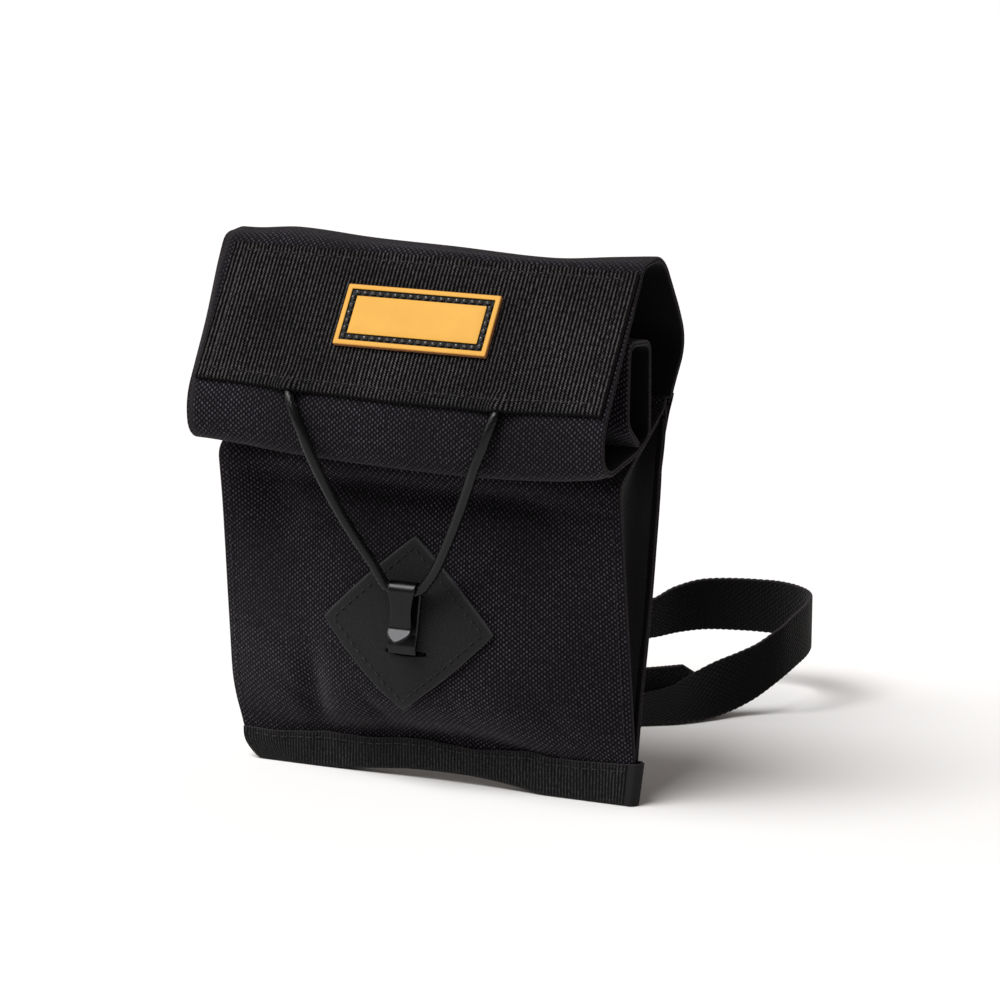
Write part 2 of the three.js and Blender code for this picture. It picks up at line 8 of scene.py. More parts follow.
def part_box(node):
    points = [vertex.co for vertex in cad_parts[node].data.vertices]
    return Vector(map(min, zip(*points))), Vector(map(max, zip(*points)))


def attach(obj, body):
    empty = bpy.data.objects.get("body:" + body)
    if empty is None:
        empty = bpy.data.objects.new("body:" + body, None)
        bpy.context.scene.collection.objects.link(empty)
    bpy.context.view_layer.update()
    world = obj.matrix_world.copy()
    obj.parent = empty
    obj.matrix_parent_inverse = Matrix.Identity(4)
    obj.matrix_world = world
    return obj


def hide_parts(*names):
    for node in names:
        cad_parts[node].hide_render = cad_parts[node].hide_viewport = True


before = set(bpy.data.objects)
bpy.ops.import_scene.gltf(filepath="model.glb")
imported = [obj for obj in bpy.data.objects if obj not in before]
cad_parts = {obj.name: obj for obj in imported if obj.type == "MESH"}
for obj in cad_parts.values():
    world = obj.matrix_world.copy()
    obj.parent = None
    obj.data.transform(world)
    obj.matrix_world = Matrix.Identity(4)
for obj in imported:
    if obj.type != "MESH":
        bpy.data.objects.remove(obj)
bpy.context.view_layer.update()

# Front panel
# The bag's front cloth, coated cotton canvas cut in one with the short top that runs back under the roll.
# It is sewn to the gussets along its sides and to the back cloth at the bottom seam. What the bag holds
# swells its belly, and the cloth dents and creases above the seam and below the roll.
CLOTH = 1.3
BODY_WIDTH = 147
SEAM_TOP = 13
CORNER = {"cut": 6.5, "from": 58, "to": 72}
LIFT_TOP = 45
DENT_EASE = 5
CLOTH_STEP = 1.25
FRONT_FOLDS = [(-0.8, 1.5, 0), (-0.8, SEAM_TOP, 12), (-17, 111, 5), (18.8, 131, 4), (20.65, 134.6, 0)]
FRONT_BELLY = [(13, 0), (21, 8), (30, 12.5), (45, 11.5), (60, 8.5), (80, 3.5), (100, 0)]
SEAM_LIFT = [(-48, 0), (-35, 0.5), (-20, 2.0), (-8, 3.1), (12, 3.3), (25, 2.4), (33, 1.3), (42, 0)]
# How far the left edge stands out to the side, by height.
EDGE_BULGE = [(8, 0), (14, 0.9), (22, 2.3), (30, 2.9), (46, 2.5), (60, 2.1), (80, 1.5), (100, 1.1)]
# Dents: x, z, spread along x and along z, depth.
FRONT_DENTS = [
    (-41, 30, 5.5, 14, 4.6), (-15, 21, 8, 7, 1.2), (46, 24, 10, 8, 1.6), (-57, 97, 11, 14, 10),
    (-30, 103, 30, 4.5, 4.5), (30, 102.5, 32, 4.5, 4.5),
]
# Creases: the x and z of both ends, breadth, depth.
FRONT_CREASES = [
    (-66, 58, -44, 40, 3.0, 0.9), (-60, 36, -36, 20, 2.6, 1.0), (-24, 34, -12, 16, 2.4, 0.9),
    (10, 34, 22, 16, 2.6, 0.6), (38, 40, 58, 20, 3.0, 1.0), (-34, 104, -58, 80, 3.4, 0.9),
    (36, 106, 62, 88, 3.2, 0.9), (-44, 78, -20, 96, 3.6, 1.0),
]
CREASE_END = 0.08
PUCKER = {"pitch": 11.0, "deep": 0.35, "fade": 8.0, "stray": 1.3, "stray_over": 9}

binding_low, binding_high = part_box("bottom_binding")
seam_middle = np.array([(binding_low.x + binding_high.x) / 2, (binding_low.y + binding_high.y) / 2, 0])


def in_frame(points):
    """Millimetres from the middle of the bottom seam to metres in the frame."""
    return points / 1000 + seam_middle


def smoothstep(value, low, high):
    """0 below low, 1 above high, and 3s^2 - 2s^3 at the share s between them."""
    s = np.clip((value - low) / (high - low), 0, 1)
    return s * s * (3 - 2 * s)


def bell(offset):
    """A bell shape, 1 at offset 0: exp(-offset^2)."""
    return np.exp(-(offset**2))


def curve_through(rows, position):
    """A smooth curve through rows of position and value, level beyond both ends: cubic pieces whose slope
    at a row is that of the line between its two neighbours."""
    at, value = np.array(rows, float).T
    slope = np.zeros(len(at))
    slope[1:-1] = (value[2:] - value[:-2]) / (at[2:] - at[:-2])
    position = np.clip(position, at[0], at[-1])
    i = np.clip(np.searchsorted(at, position, side="right") - 1, 0, len(at) - 2)
    span = at[i + 1] - at[i]
    s = (position - at[i]) / span
    pull = slope[i] * span * s * (1 - s) ** 2 - slope[i + 1] * span * s**2 * (1 - s)
    return value[i] + (value[i + 1] - value[i]) * (3 * s**2 - 2 * s**3) + pull


def stacked(*parts):
    """Arrays that broadcast to one shape, side by side along a new last axis."""
    return np.stack(np.broadcast_arrays(*parts), axis=-1)


def unit(vectors):
    """Vectors scaled to length 1."""
    return vectors / np.linalg.norm(vectors, axis=-1, keepdims=True)


def walked_along(points, axis=0):
    """The length walked to each point along one axis of a row or grid of points: the sum of the steps."""
    steps = np.linalg.norm(np.diff(points, axis=axis), axis=-1)
    return np.insert(np.cumsum(steps, axis=axis), 0, 0, axis=axis)


ARC_STEPS = 24


def folded_path(folds):
    """The side view of a folded cloth, from rows of y, z and bend radius: straight runs between the folds,
    each fold an arc that touches both its runs. Gives close points and the length walked to each."""
    folds = np.array(folds, float)
    corners = folds[:, :2]
    stretches = [corners[:1]]
    for before, corner, after, bend in zip(corners, corners[1:], corners[2:], folds[1:, 2]):
        into, away = (unit(b - a) for a, b in ((before, corner), (corner, after)))
        turn = np.arctan2(into[0] * away[1] - into[1] * away[0], into @ away)
        start = corner - into * bend * abs(np.tan(turn / 2))
        spoke = np.array([into[1], -into[0]]) * np.sign(turn) * bend
        angle = np.linspace(0, turn, ARC_STEPS)[:, None]
        arc = np.cos(angle) * spoke + np.sin(angle) * np.array([-spoke[1], spoke[0]])
        stretches.append(start - spoke + arc)
    points = np.vstack([*stretches, corners[-1:]])
    return points, walked_along(points)


def walk(path, length):
    """The two coordinates reached after walking a length along a folded path."""
    points, walked = path
    return np.interp(length, walked, points[:, 0]), np.interp(length, walked, points[:, 1])


RIM_STATIONS = np.array([0, 0.06, 0.25, 0.6])


def stations(length, step, edge):
    """Even stations along a length, with closer ones near both ends where an edge is rounded."""
    rim = edge * RIM_STATIONS
    inner = np.linspace(edge, length - edge, max(round((length - 2 * edge) / step), 1) + 1)
    return np.concatenate([rim, inner, length - rim[::-1]])


def normals_of(middle):
    """Unit normals of a grid of points: the cross product of its tangents along columns and rows."""
    return unit(np.cross(np.gradient(middle, axis=1), np.gradient(middle, axis=0)))


def inset_of(middle):
    """Each grid point's distance to the nearest border, walked along its row or its column."""
    nearest = []
    for axis in (0, 1):
        walked = walked_along(middle, axis)
        nearest.append(np.minimum(walked, walked.max(axis=axis, keepdims=True) - walked))
    return np.minimum(*nearest)


def quads(number):
    """The four-cornered faces of one or more grids of vertex numbers."""
    corners = [number[..., :-1, :-1], number[..., :-1, 1:], number[..., 1:, 1:], number[..., 1:, :-1]]
    return np.stack(corners, axis=-1).reshape(-1, 4)


# How far in from a rounded edge the edge colour reaches, as a share of the thickness. The edge colour is a
# painted highlight.
EDGE_HIGHLIGHT_SPREAD = 0.3


def sheet_of(middle, thick, uv, relief=0.0):
    """A closed sheet about a grid of middle points. A point goes to both sides along the normal by half the
    thickness, which falls to nothing at the border along a quarter circle, so that the two sides meet there
    in a rounded edge. The relief is added to the front side alone. A bell-shaped value marks the edge, where
    the materials paint a highlight."""
    normal = normals_of(middle)
    inset = inset_of(middle)
    rounding = np.sqrt(1 - (1 - np.clip(2 * inset / thick, 0, 1)) ** 2)
    push = (thick / 2 * rounding)[..., None] * normal
    front = middle + push + (relief * rounding)[..., None] * normal
    back = (middle - push)[1:-1, 1:-1]
    rows, columns = inset.shape
    number = np.arange(rows * columns).reshape(rows, columns)
    behind = number.copy()
    behind[1:-1, 1:-1] = rows * columns + np.arange((rows - 2) * (columns - 2)).reshape(rows - 2, -1)
    points = np.vstack([front.reshape(-1, 3), back.reshape(-1, 3)])
    uvs = np.vstack([uv.reshape(-1, 2), uv[1:-1, 1:-1].reshape(-1, 2)]) / 1000
    edge = bell(inset / (EDGE_HIGHLIGHT_SPREAD * thick))
    edges = np.concatenate([edge.ravel(), edge[1:-1, 1:-1].ravel()])
    return points, [quads(number), quads(behind)[:, ::-1]], uvs, edges


def make_piece(name, shells, material, slot, *nodes):
    """One object from shells of points in millimetres, faces, UVs in metres and an edge value for each
    point. It rides on the bag and stands for the named nodes."""
    starts = np.cumsum([0] + [len(shell[0]) for shell in shells])
    faces = [rows + start for shell, start in zip(shells, starts) for rows in shell[1]]
    points, uvs, edges = (np.concatenate([shell[i] for shell in shells]) for i in (0, 2, 3))
    mesh = bpy.data.meshes.new(name)
    mesh.from_pydata(in_frame(points).tolist(), [], [face for rows in faces for face in rows.tolist()])
    corner = np.empty(len(mesh.loops), int)
    mesh.loops.foreach_get("vertex_index", corner)
    mesh.uv_layers.new(name="UVMap").data.foreach_set("uv", uvs[corner].ravel())
    mesh.attributes.new("edge", "FLOAT", "POINT").data.foreach_set("value", edges)
    mesh.polygons.foreach_set("use_smooth", np.ones(len(mesh.polygons), bool))
    mesh.materials.append(material)
    piece = bpy.data.objects.new(name, mesh)
    bpy.context.scene.collection.objects.link(piece)
    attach(piece, "root")
    if nodes:
        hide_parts(*nodes)
    return piece


def linear(colour):
    """An sRGB hex colour as linear red, green, blue and alpha."""
    share = np.array([int(colour[i : i + 2], 16) for i in (1, 3, 5)]) / 255
    rgb = np.where(share <= 0.04045, share / 12.92, ((share + 0.055) / 1.055) ** 2.4)
    return (*rgb, 1.0)


def add_node(tree, kind, inputs, **settings):
    """Adds a node with its settings, sets each of its inputs or links it to another node's output, and gives
    the node's outputs."""
    made = tree.nodes.new("ShaderNode" + kind)
    for key, value in settings.items():
        setattr(made, key, value)
    for socket, value in inputs.items():
        if isinstance(value, bpy.types.NodeSocket):
            tree.links.new(value, made.inputs[socket])
        else:
            made.inputs[socket].default_value = value
    return made.outputs


def blank_material(name):
    """A new material without nodes, and add_node bound to its tree."""
    material = bpy.data.materials.new(name)
    material.use_nodes = True
    material.node_tree.nodes.clear()
    return material, partial(add_node, material.node_tree)


def woven(name, colours, warp, weft, relief, roughness, shine, ribbed=False, nap=0.065):
    """A woven cloth on the piece's UVs, from the colours of its shaded threads, its lit threads and its
    rounded edges, with spacings and relief in millimetres. With a = sin(pi u / warp) and b = sin(pi v /
    weft), the warp of a plain weave lies on top where |a| (a b + 0.45) is high. In a ribbed one each half
    turn of a is a cord, which sways at each pick. The high places take the lit colour and the edges take
    their own, both painted highlights, and the shaded colour between the ribs of a ribbed cloth is painted
    shade. The threads wander a little. Slubs along them and blotches a few centimetres across vary the tone,
    and a faint nap gleams at low angles."""
    dark, light, edge = (linear(colour) for colour in colours)
    material, add = blank_material(name)
    uv = add("UVMap", {}, uv_map="UVMap")["UV"]
    wander = add("TexNoise", {"Vector": uv, "Scale": 300.0, "Detail": 2.0})[1]
    wander = add("VectorMath", {0: wander, 1: (0.0005, 0.0005, 0), 2: uv}, operation="MULTIPLY_ADD")[0]
    scale = (np.pi * 1000 / warp, np.pi * 1000 / weft, 0)
    turns = add("VectorMath", {0: wander, 1: scale}, operation="MULTIPLY")[0]
    split = add("SeparateXYZ", {0: turns})
    along = add("Math", {0: split["Y"]}, operation="SINE")[0]
    sway = 0.4 if ribbed else 0.0
    swayed = add("Math", {0: along, 1: sway, 2: split["X"]}, operation="MULTIPLY_ADD")[0]
    across = add("Math", {0: swayed}, operation="SINE")[0]
    crown = add("Math", {0: across}, operation="ABSOLUTE")[0]
    raised = crown
    if not ribbed:
        lattice = add("Math", {0: across, 1: along}, operation="MULTIPLY")[0]
        column = add("Math", {0: lattice, 1: 0.45}, operation="ADD")[0]
        raised = add("Math", {0: column, 1: crown}, operation="MULTIPLY")[0]
    on_top = {"Value": raised, 1: 0.68 if ribbed else 0.15, 2: 1.0 if ribbed else 1.25}
    lit = add("MapRange", on_top, interpolation_type="SMOOTHSTEP")[0]
    slub_scale = (900 / warp, 350 / weft, 0)
    slub_at = add("VectorMath", {0: uv, 1: slub_scale}, operation="MULTIPLY")[0]
    slub = add("TexNoise", {"Vector": slub_at, "Scale": 1.0, "Detail": 1.0})[0]
    slub = add("MapRange", {"Value": slub, 1: 0.3, 2: 0.7, 3: 0.15, 4: 1.0})[0]
    place = add("TexCoord", {})["Object"]
    blotch = add("TexNoise", {"Vector": place, "Scale": 32.0, "Detail": 4.0})[0]
    blotch = add("MapRange", {"Value": blotch, 1: 0.36, 2: 0.66, 3: 0.55, 4: 1.05})[0]
    tone = add("Math", {0: blotch, 1: slub}, operation="MULTIPLY")[0]
    share = add("Math", {0: lit, 1: tone}, operation="MULTIPLY")[0]
    threads = add("Mix", {0: share, 6: dark, 7: light}, data_type="RGBA")[2]
    rim = add("Attribute", {}, attribute_name="edge")["Fac"]
    highlit_edges = add("Mix", {0: rim, 6: threads, 7: edge}, data_type="RGBA")[2]
    height = add("Math", {0: raised, 1: slub}, operation="ADD")[0]
    bump = {"Strength": 0.8, "Distance": relief / 1000, "Height": height}
    cloth = {
        "Base Color": highlit_edges,
        "Roughness": roughness,
        "Specular IOR Level": shine,
        "Sheen Weight": nap,
        "Normal": add("Bump", bump)[0],
    }
    shader = add("BsdfPrincipled", cloth)[0]
    add("OutputMaterial", {"Surface": shader})
    return material


# Coated cotton canvas in a plain weave: matt and near black with a purple cast, with a fine grid of paler
# points where the warp lies on top: painted highlights.
WARP = 0.99
WEFT = 0.825
coated_canvas = woven(
    "coated_canvas", ("#060506", "#534b59", "#211e21"), WARP, WEFT, relief=0.16, roughness=0.85, shine=0.06
)


def lifted(x, z):
    """A height on the body after the seam's lift at x, which fades out above the base. The lower left corner
    is cut round inside the binding."""
    corner = CORNER["cut"] * smoothstep(-x, CORNER["from"], CORNER["to"]) * (1 - smoothstep(z, 0, SEAM_TOP))
    return z + corner + curve_through(SEAM_LIFT, x) * (1 - smoothstep(z, SEAM_TOP, LIFT_TOP))


def swell(x):
    """The share of a panel's swelling at x: all of it in the middle, none at the side seams."""
    return 1 - (x / (BODY_WIDTH / 2)) ** 2


def puckers(x, size):
    """Puckers along a seam: a sine of x whose phase strays with a slower one."""
    stray = size["stray"] * np.sin(x / size["stray_over"])
    return size["deep"] * np.sin(2 * np.pi * x / size["pitch"] + stray)


def front_cloth(x, y, z):
    """A point of the front cloth: the side view's point pushed out by the belly, less bell-shaped dents and
    creases that are bell-shaped across a line, and puckers that run up from the seam. The left edge stands
    out to the side."""
    dent = np.zeros(np.broadcast(x, z).shape)
    for at_x, at_z, wide, tall, deep in FRONT_DENTS:
        dent += deep * bell(np.hypot((x - at_x) / wide, (z - at_z) / tall))
    for x1, z1, x2, z2, broad, deep in FRONT_CREASES:
        way = np.array([x2 - x1, z2 - z1])
        share = np.clip(((x - x1) * way[0] + (z - z1) * way[1]) / (way @ way), 0, 1)
        off = np.hypot(x - x1 - share * way[0], z - z1 - share * way[1])
        dent += deep * bell(off / broad) * np.sin(np.pi * np.clip(share, CREASE_END, 1 - CREASE_END))
    dent += puckers(x, PUCKER) * np.exp(-np.clip(z - SEAM_TOP, 0, None) / PUCKER["fade"])
    dent *= smoothstep(z, SEAM_TOP, SEAM_TOP + DENT_EASE)
    out = (curve_through(FRONT_BELLY, z) - dent) * swell(x)
    bulged = x - curve_through(EDGE_BULGE, z) * smoothstep(-x, BODY_WIDTH / 4, BODY_WIDTH / 2)
    return stacked(bulged, y - out, lifted(x, z))


front_path = folded_path(FRONT_FOLDS)
body_x = stations(BODY_WIDTH, CLOTH_STEP, CLOTH / 2)[None, :] - BODY_WIDTH / 2
front_length = stations(front_path[1][-1], CLOTH_STEP, CLOTH / 2)[:, None]
front_middle = front_cloth(body_x, *walk(front_path, front_length))
front_uv = stacked(body_x, front_length)
front_sheet = sheet_of(front_middle, CLOTH, front_uv)
front_panel = make_piece("front_panel_cloth", [front_sheet], coated_canvas, "coated_canvas", "front_panel")

# A row of stitches runs up each side of the panel, through the flange of the gusset behind it.
STITCH = 2.5
STITCH_GAP = 0.8
THREAD = 0.5
STITCH_STEPS = 7
THREAD_SIDES = 6
SIDE_SEAM = {"x": 70.3, "from": 19.5, "to": 105}


def ringed(middle, side, up, radius, angle, uv):
    """Closed tubes about rows of middle points: at each a ring in the plane of two directions, which reaches
    radius (cos(angle) side + sin(angle) up) from it, and a flat face at both ends."""
    spoke = np.cos(angle)[:, None] * side[..., None, :] + np.sin(angle)[:, None] * up[..., None, :]
    points = middle[..., None, :] + radius[..., None] * spoke
    number = np.arange(points[..., 0].size).reshape(points.shape[:-1])
    closed = np.concatenate([number, number[..., :1]], axis=-1)
    first, last = (number[..., i, :].reshape(-1, len(angle)) for i in (0, -1))
    faces = [quads(closed)[:, ::-1], first, last[:, ::-1]]
    return points.reshape(-1, 3), faces, uv.reshape(-1, 2) / 1000, np.zeros(number.size)


def stitches(line, out, length=STITCH, gap=STITCH_GAP, thread=THREAD):
    """A row of stitches along a line of points on a cloth's face, with the outward direction at each point.
    A stitch's middle follows the line and rises from it by 0.7 cos(pi share) - 0.25 threads. Its section is a
    circle, drawn in by sqrt(1 - (1.9 share)^2) to both ends, where the thread goes down, and ridged by the
    twist: 1 + 0.15 cos(2 angle - 5 pi share)."""
    walked = walked_along(line)
    count = int(walked[-1] // (length + gap))
    share = np.linspace(-0.5, 0.5, STITCH_STEPS)
    at = ((np.arange(count) + 0.5) * walked[-1] / count)[:, None] + share * length
    middle, up = (
        np.stack([np.interp(at, walked, rows[:, i]) for i in range(3)], axis=-1) for rows in (line, out)
    )
    side = np.cross(unit(np.gradient(middle, axis=1)), up)
    rise = thread * (0.7 * np.cos(np.pi * share) - 0.25)
    angle = np.linspace(0, 2 * np.pi, THREAD_SIDES, endpoint=False)
    drawn_in = thread / 2 * np.sqrt(1 - (1.9 * share[:, None]) ** 2)
    radius = drawn_in * (1 + 0.15 * np.cos(2 * angle - 5 * np.pi * share[:, None]))
    uv = stacked(angle * thread / 2, at[..., None])
    return ringed(middle + rise[:, None] * up, side, up, radius, angle, uv)


# Black polyester thread: smooth, with a soft painted highlight along its twist.
THREAD_TWIST = (0.3, 0.4)
polyester_thread = woven(
    "polyester_thread", ("#070707", "#2c2a2c", "#2c2a2c"), *THREAD_TWIST,
    relief=0.05, roughness=0.45, shine=0.25,
)
front_normal = normals_of(front_middle)
seam_rows = (front_length[:, 0] > SIDE_SEAM["from"]) & (front_length[:, 0] < SIDE_SEAM["to"])
side_seams = []
for seam_x in (-SIDE_SEAM["x"], SIDE_SEAM["x"]):
    column = np.argmin(np.abs(body_x[0] - seam_x))
    out = front_normal[seam_rows, column]
    side_seams.append(stitches(front_middle[seam_rows, column] + CLOTH / 2 * out, out))
make_piece("front_stitching", side_seams, polyester_thread, "coated_canvas")

# Back panel
# The bag's back cloth, the same coated canvas, from the bottom seam up to the mouth, where it laps over the
# first turn of the roll.
BACK_FOLDS = [(0.8, 1.5, 0), (0.8, SEAM_TOP, 12), (12.2, 112.5, 8), (22.07, 133.87, 0)]
BACK_LAP = [(21.4, 132.4, 3), (25.3, 137.9, 0)]
BACK_BELLY = [(13, 0), (35, 3), (60, 4), (95, 1.5), (108, 0)]
# How far the right edge stands out to the side, by height.
BACK_EDGE_BULGE = [(13, 0), (35, 0.4), (60, 1.4), (85, 2.0), (112, 2.2), (126, 0.9), (138, -1.2)]


def back_cloth(x, y, z):
    """A point of the back cloth: the side view's point, pushed out by the belly at x. The right edge stands
    out to the side."""
    out = curve_through(BACK_BELLY, z) * swell(x)
    bulged = x + curve_through(BACK_EDGE_BULGE, z) * smoothstep(x, BODY_WIDTH / 4, BODY_WIDTH / 2)
    return stacked(bulged, y + out, lifted(x, z))


back_path = folded_path(BACK_FOLDS)
lapped_path = folded_path(BACK_FOLDS[:-1] + BACK_LAP)
back_length = stations(lapped_path[1][-1], CLOTH_STEP, CLOTH / 2)[:, None]
back_middle = back_cloth(body_x, *walk(lapped_path, back_length))
back_uv = stacked(body_x, back_length)
back_sheet = sheet_of(back_middle, CLOTH, back_uv)
back_panel = make_piece("back_panel_cloth", [back_sheet], coated_canvas, "coated_canvas", "back_panel")

# Side gussets
# A wedge of the same canvas at each side, from the front cloth to the back cloth, with a narrow flange
# turned outwards along each of them for the seam. The empty sides draw in a little between the panels.
GUSSET_WALL = 70.9
GUSSET_FLANGE = 2.4
GUSSET_BOW = 3.0
GUSSET_UP = (0.1, 0.945)
GUSSET_CLEAR = CLOTH / 2 + 0.35
GUSSET_CLOTH = 1.1
GUSSET_GRID = (120, 45)
GUSSET_FLAT = (30, 150)
PROBE = 0.5
# Shares of the width that a flange's turn and the wall's margin take, and of the height for the bow.
FLANGE_TURN = 0.15
WALL_IN = 0.06
BOW_FROM = 0.15
BOW_OVER = 0.4


def inner_line(path, share, side):
    """The line a gusset follows along a panel: the panel's side view, moved inwards by a clearance square to
    the chord between two points just before and after."""
    length = share * path[1][-1]
    y, z = walk(path, length)
    (y1, z1), (y2, z2) = walk(path, length - PROBE), walk(path, length + PROBE)
    run = np.hypot(y2 - y1, z2 - z1)
    return y + side * GUSSET_CLEAR * (z2 - z1) / run, z - side * GUSSET_CLEAR * (y2 - y1) / run


def gusset(side):
    """A gusset's grid: across it, from the front flange over the wall to the back flange; along it, up the
    two panels. The wall is ruled from front to back and bowed inwards by the bow times sin^2(pi share)."""
    across = np.linspace(0, 1, GUSSET_GRID[1])[None, :]
    up = np.linspace(*GUSSET_UP, GUSSET_GRID[0])[:, None]
    flange = 1 - smoothstep(across, 0, FLANGE_TURN) + smoothstep(across, 1 - FLANGE_TURN, 1)
    share = smoothstep(across, WALL_IN, 1 - WALL_IN)
    deep = np.clip((up - BOW_FROM) / BOW_OVER, 0, 1)
    x = side * (GUSSET_WALL + GUSSET_FLANGE * flange - GUSSET_BOW * deep * np.sin(np.pi * share) ** 2)
    front = front_cloth(x, *inner_line(front_path, up, 1))
    back = back_cloth(x, *inner_line(back_path, up, -1))
    middle = front + (back - front) * share[..., None]
    uv = stacked(across * GUSSET_FLAT[0], up * GUSSET_FLAT[1])
    return sheet_of(middle[:, ::-side], GUSSET_CLOTH, uv)


# A darker copy of the canvas, smooth and black with barely a trace of the weave: painted shade on the gussets
# and on one of the roll's two layers, which face away from the light.
shade_painted_canvas = woven(
    "shade_painted_canvas", ("#080608", "#100d0f", "#1d1a1d"), WARP, WEFT, relief=0.05, roughness=0.75, shine=0.05
)
# The gussets take the darker canvas: painted shade on the sides turned from the light.
for side, hand in ((-1, "left"), (1, "right")):
    node = f"side_gusset_{hand}"
    piece = make_piece(f"{node}_cloth", [gusset(side)], shade_painted_canvas, "coated_canvas", node)

# Roll collar
# The mouth of the bag: the two cloths laid together, folded forward and down over the front, and turned in
# again. Its two layers show as two thin edges at each end, its turns don't end quite flush, and the left
# edge of its outer layer is hemmed.
COLLAR_WIDTH = 152
ROLLED_CLOTH = 2.0
ROLL_FOLDS = [
    (21.5, 134.5, 0), (30.5, 152, 14), (16, 182.3, 10), (-1.5, 181.2, 7), (-36, 131.5, 18), (-35, 116, 7),
    (-9, 121, 10), (1.5, 125, 5), (0.5, 156.5, 4), (-16, 158, 4), (-16.8, 131, 8), (-7.5, 123.6, 0),
]
FRONT_RUN = 3
ROLL_STEP = 1.6
# Where the crown starts and is whole, and where the curl is whole and ends, by y and by z.
CROWN_Y = (-4, 5)
CROWN_Z = (165, 178)
CURL_Y = (-30, -8)
CURL_Z = (118, 134)
CROWN_LIFT = [(-76, -0.3), (-58, 1.0), (-30, -0.7), (0, -1.6), (36, -2.9), (60, -0.9), (76, 0.2)]
CURL_DROP = [(-76, 0.3), (-60, -0.5), (-40, -2.2), (0, -3.8), (30, -4.0), (55, -2.8), (70, -1), (76, 0.5)]
# How far each end is out of line along x, by the share of the way round the roll.
LEFT_SHIFT = [(0, 2.5), (0.06, 1.2), (0.12, -1), (0.2, -4), (0.28, -3.6), (0.4, -1), (0.6, 0.5), (1, 2)]
RIGHT_SHIFT = [(0, -1.2), (0.07, -0.2), (0.12, -0.4), (0.2, -2.2), (0.27, -1.6), (0.5, -0.4), (1, 0)]
LAYER = 0.95
LAYER_OFF = 0.51
# The hem along the left edge of the outer layer: how far in, how wide and how high its bead is, the extra
# stations there, and the shares of the way round the roll where the bead rises and falls.
HEM = {"in": 1.9, "wide": 1.1, "high": 1.0}
HEM_STATIONS = np.linspace(0.8, 5.2, 12)
HEM_RISES = (0.27, 0.32)
HEM_FALLS = (0.43, 0.49)


def roll_cloth(x, length):
    """A point of the roll's middle: the side view at a length walked, whose crown rises and sags along x, and
    whose front curl hangs lower in the middle than at the ends."""
    y, z = walk(roll_path, length)
    crown = smoothstep(y, *CROWN_Y) * smoothstep(z, *CROWN_Z)
    curl = (1 - smoothstep(z, *CURL_Z)) * (1 - smoothstep(y, *CURL_Y))
    z = z + curve_through(CROWN_LIFT, x) * crown + curve_through(CURL_DROP, x) * curl
    return stacked(x, y, z)


roll_path = folded_path(ROLL_FOLDS)
roll_length = stations(roll_path[1][-1], ROLL_STEP, LAYER / 2)[:, None]
round_roll = roll_length / roll_path[1][-1]
from_left = np.union1d(stations(COLLAR_WIDTH, ROLL_STEP, LAYER / 2), HEM_STATIONS)[None, :]
flat_x = from_left - COLLAR_WIDTH / 2
left_shift, right_shift = (curve_through(rows, round_roll) for rows in (LEFT_SHIFT, RIGHT_SHIFT))
end_shift = np.where(flat_x < 0, left_shift, right_shift)
roll_x = flat_x + end_shift * smoothstep(np.abs(flat_x), COLLAR_WIDTH / 4, COLLAR_WIDTH / 2)
roll_middle = roll_cloth(roll_x, roll_length)
roll_normal = normals_of(roll_middle)
roll_uv = stacked(roll_x, walked_along(roll_middle))
# The hem is a bell-shaped bead that stands out from the roll, and it takes the smooth edge colour, a painted
# highlight.
hem = bell((from_left - HEM["in"]) / HEM["wide"]) * np.ones_like(roll_length)
bead = HEM["high"] * smoothstep(round_roll, *HEM_RISES) * (1 - smoothstep(round_roll, *HEM_FALLS)) * hem
offsets = (-LAYER_OFF - bead, LAYER_OFF + 0 * bead)
layers = [sheet_of(roll_middle + offset[..., None] * roll_normal, LAYER, roll_uv) for offset in offsets]
hem_edge = np.concatenate([hem.ravel(), hem[1:-1, 1:-1].ravel()])
layers[0] = (*layers[0][:3], np.maximum(layers[0][3], hem_edge))
roll_collar = make_piece("roll_collar_cloth", layers, coated_canvas, "coated_canvas", "roll_collar")
# The second layer takes the darker canvas: painted shade inside the roll.
roll_collar.data.materials.append(shade_painted_canvas)
layer_of_face = np.repeat([0, 1], len(roll_collar.data.polygons) // 2)
roll_collar.data.polygons.foreach_set("material_index", layer_of_face)

# Webbing band
# The wide band along the front of the roll, nylon webbing woven with a rib for each pair of warp ends and
# sewn down near its top and bottom edges and at both ends.
WEBBING = 1.6
CLEARANCE = 0.3
BAND_WIDTH = 148
BAND_HEIGHT = 51.2
RIB = 1.40
PICK = 0.83
RIB_RELIEF = 0.4
RIB_COLUMNS = 6
RIB_RIM = 0.2
BAND_STEP = 1.0
# Where the band is sewn: rows up from its foot, and columns in from its ends.
BAND_ROWS = (4, 48)
BAND_COLUMN_IN = 5
BAND_SEAM_POINTS = 60
# How far from a seam the ribs are pressed down, by what share, and how far the thread stands out there.
PRESSED = {"wide": 0.9, "share": 0.8, "proud": 0.1}
BAND_SAG = [
    (-74, 0), (-46, -1.0), (-38, -2.4), (-30, -1.7), (0, -2.4), (30, -2.5), (38, -3.2), (46, -2.0),
    (60, -1.2), (74, -0.8),
]
# How the band bulges over the two ends of the elastic cord.
OVER_CORD = {"x": 38.2, "out": 2.6, "wide": 4.0, "tall": 9.0}


def run_plane(path, fold, side):
    """The plane of the straight run after a fold of a side view: its foot at x 0, the way up and the way out,
    which is square to the way up and goes to the front for side -1 and to the back for side 1."""
    run = np.insert(path[0][ARC_STEPS * fold :][:2], 0, 0, axis=1)
    foot, top = run[::side]
    up = unit(top - foot)
    return foot, up, side * np.array([0, up[2], -up[1]])


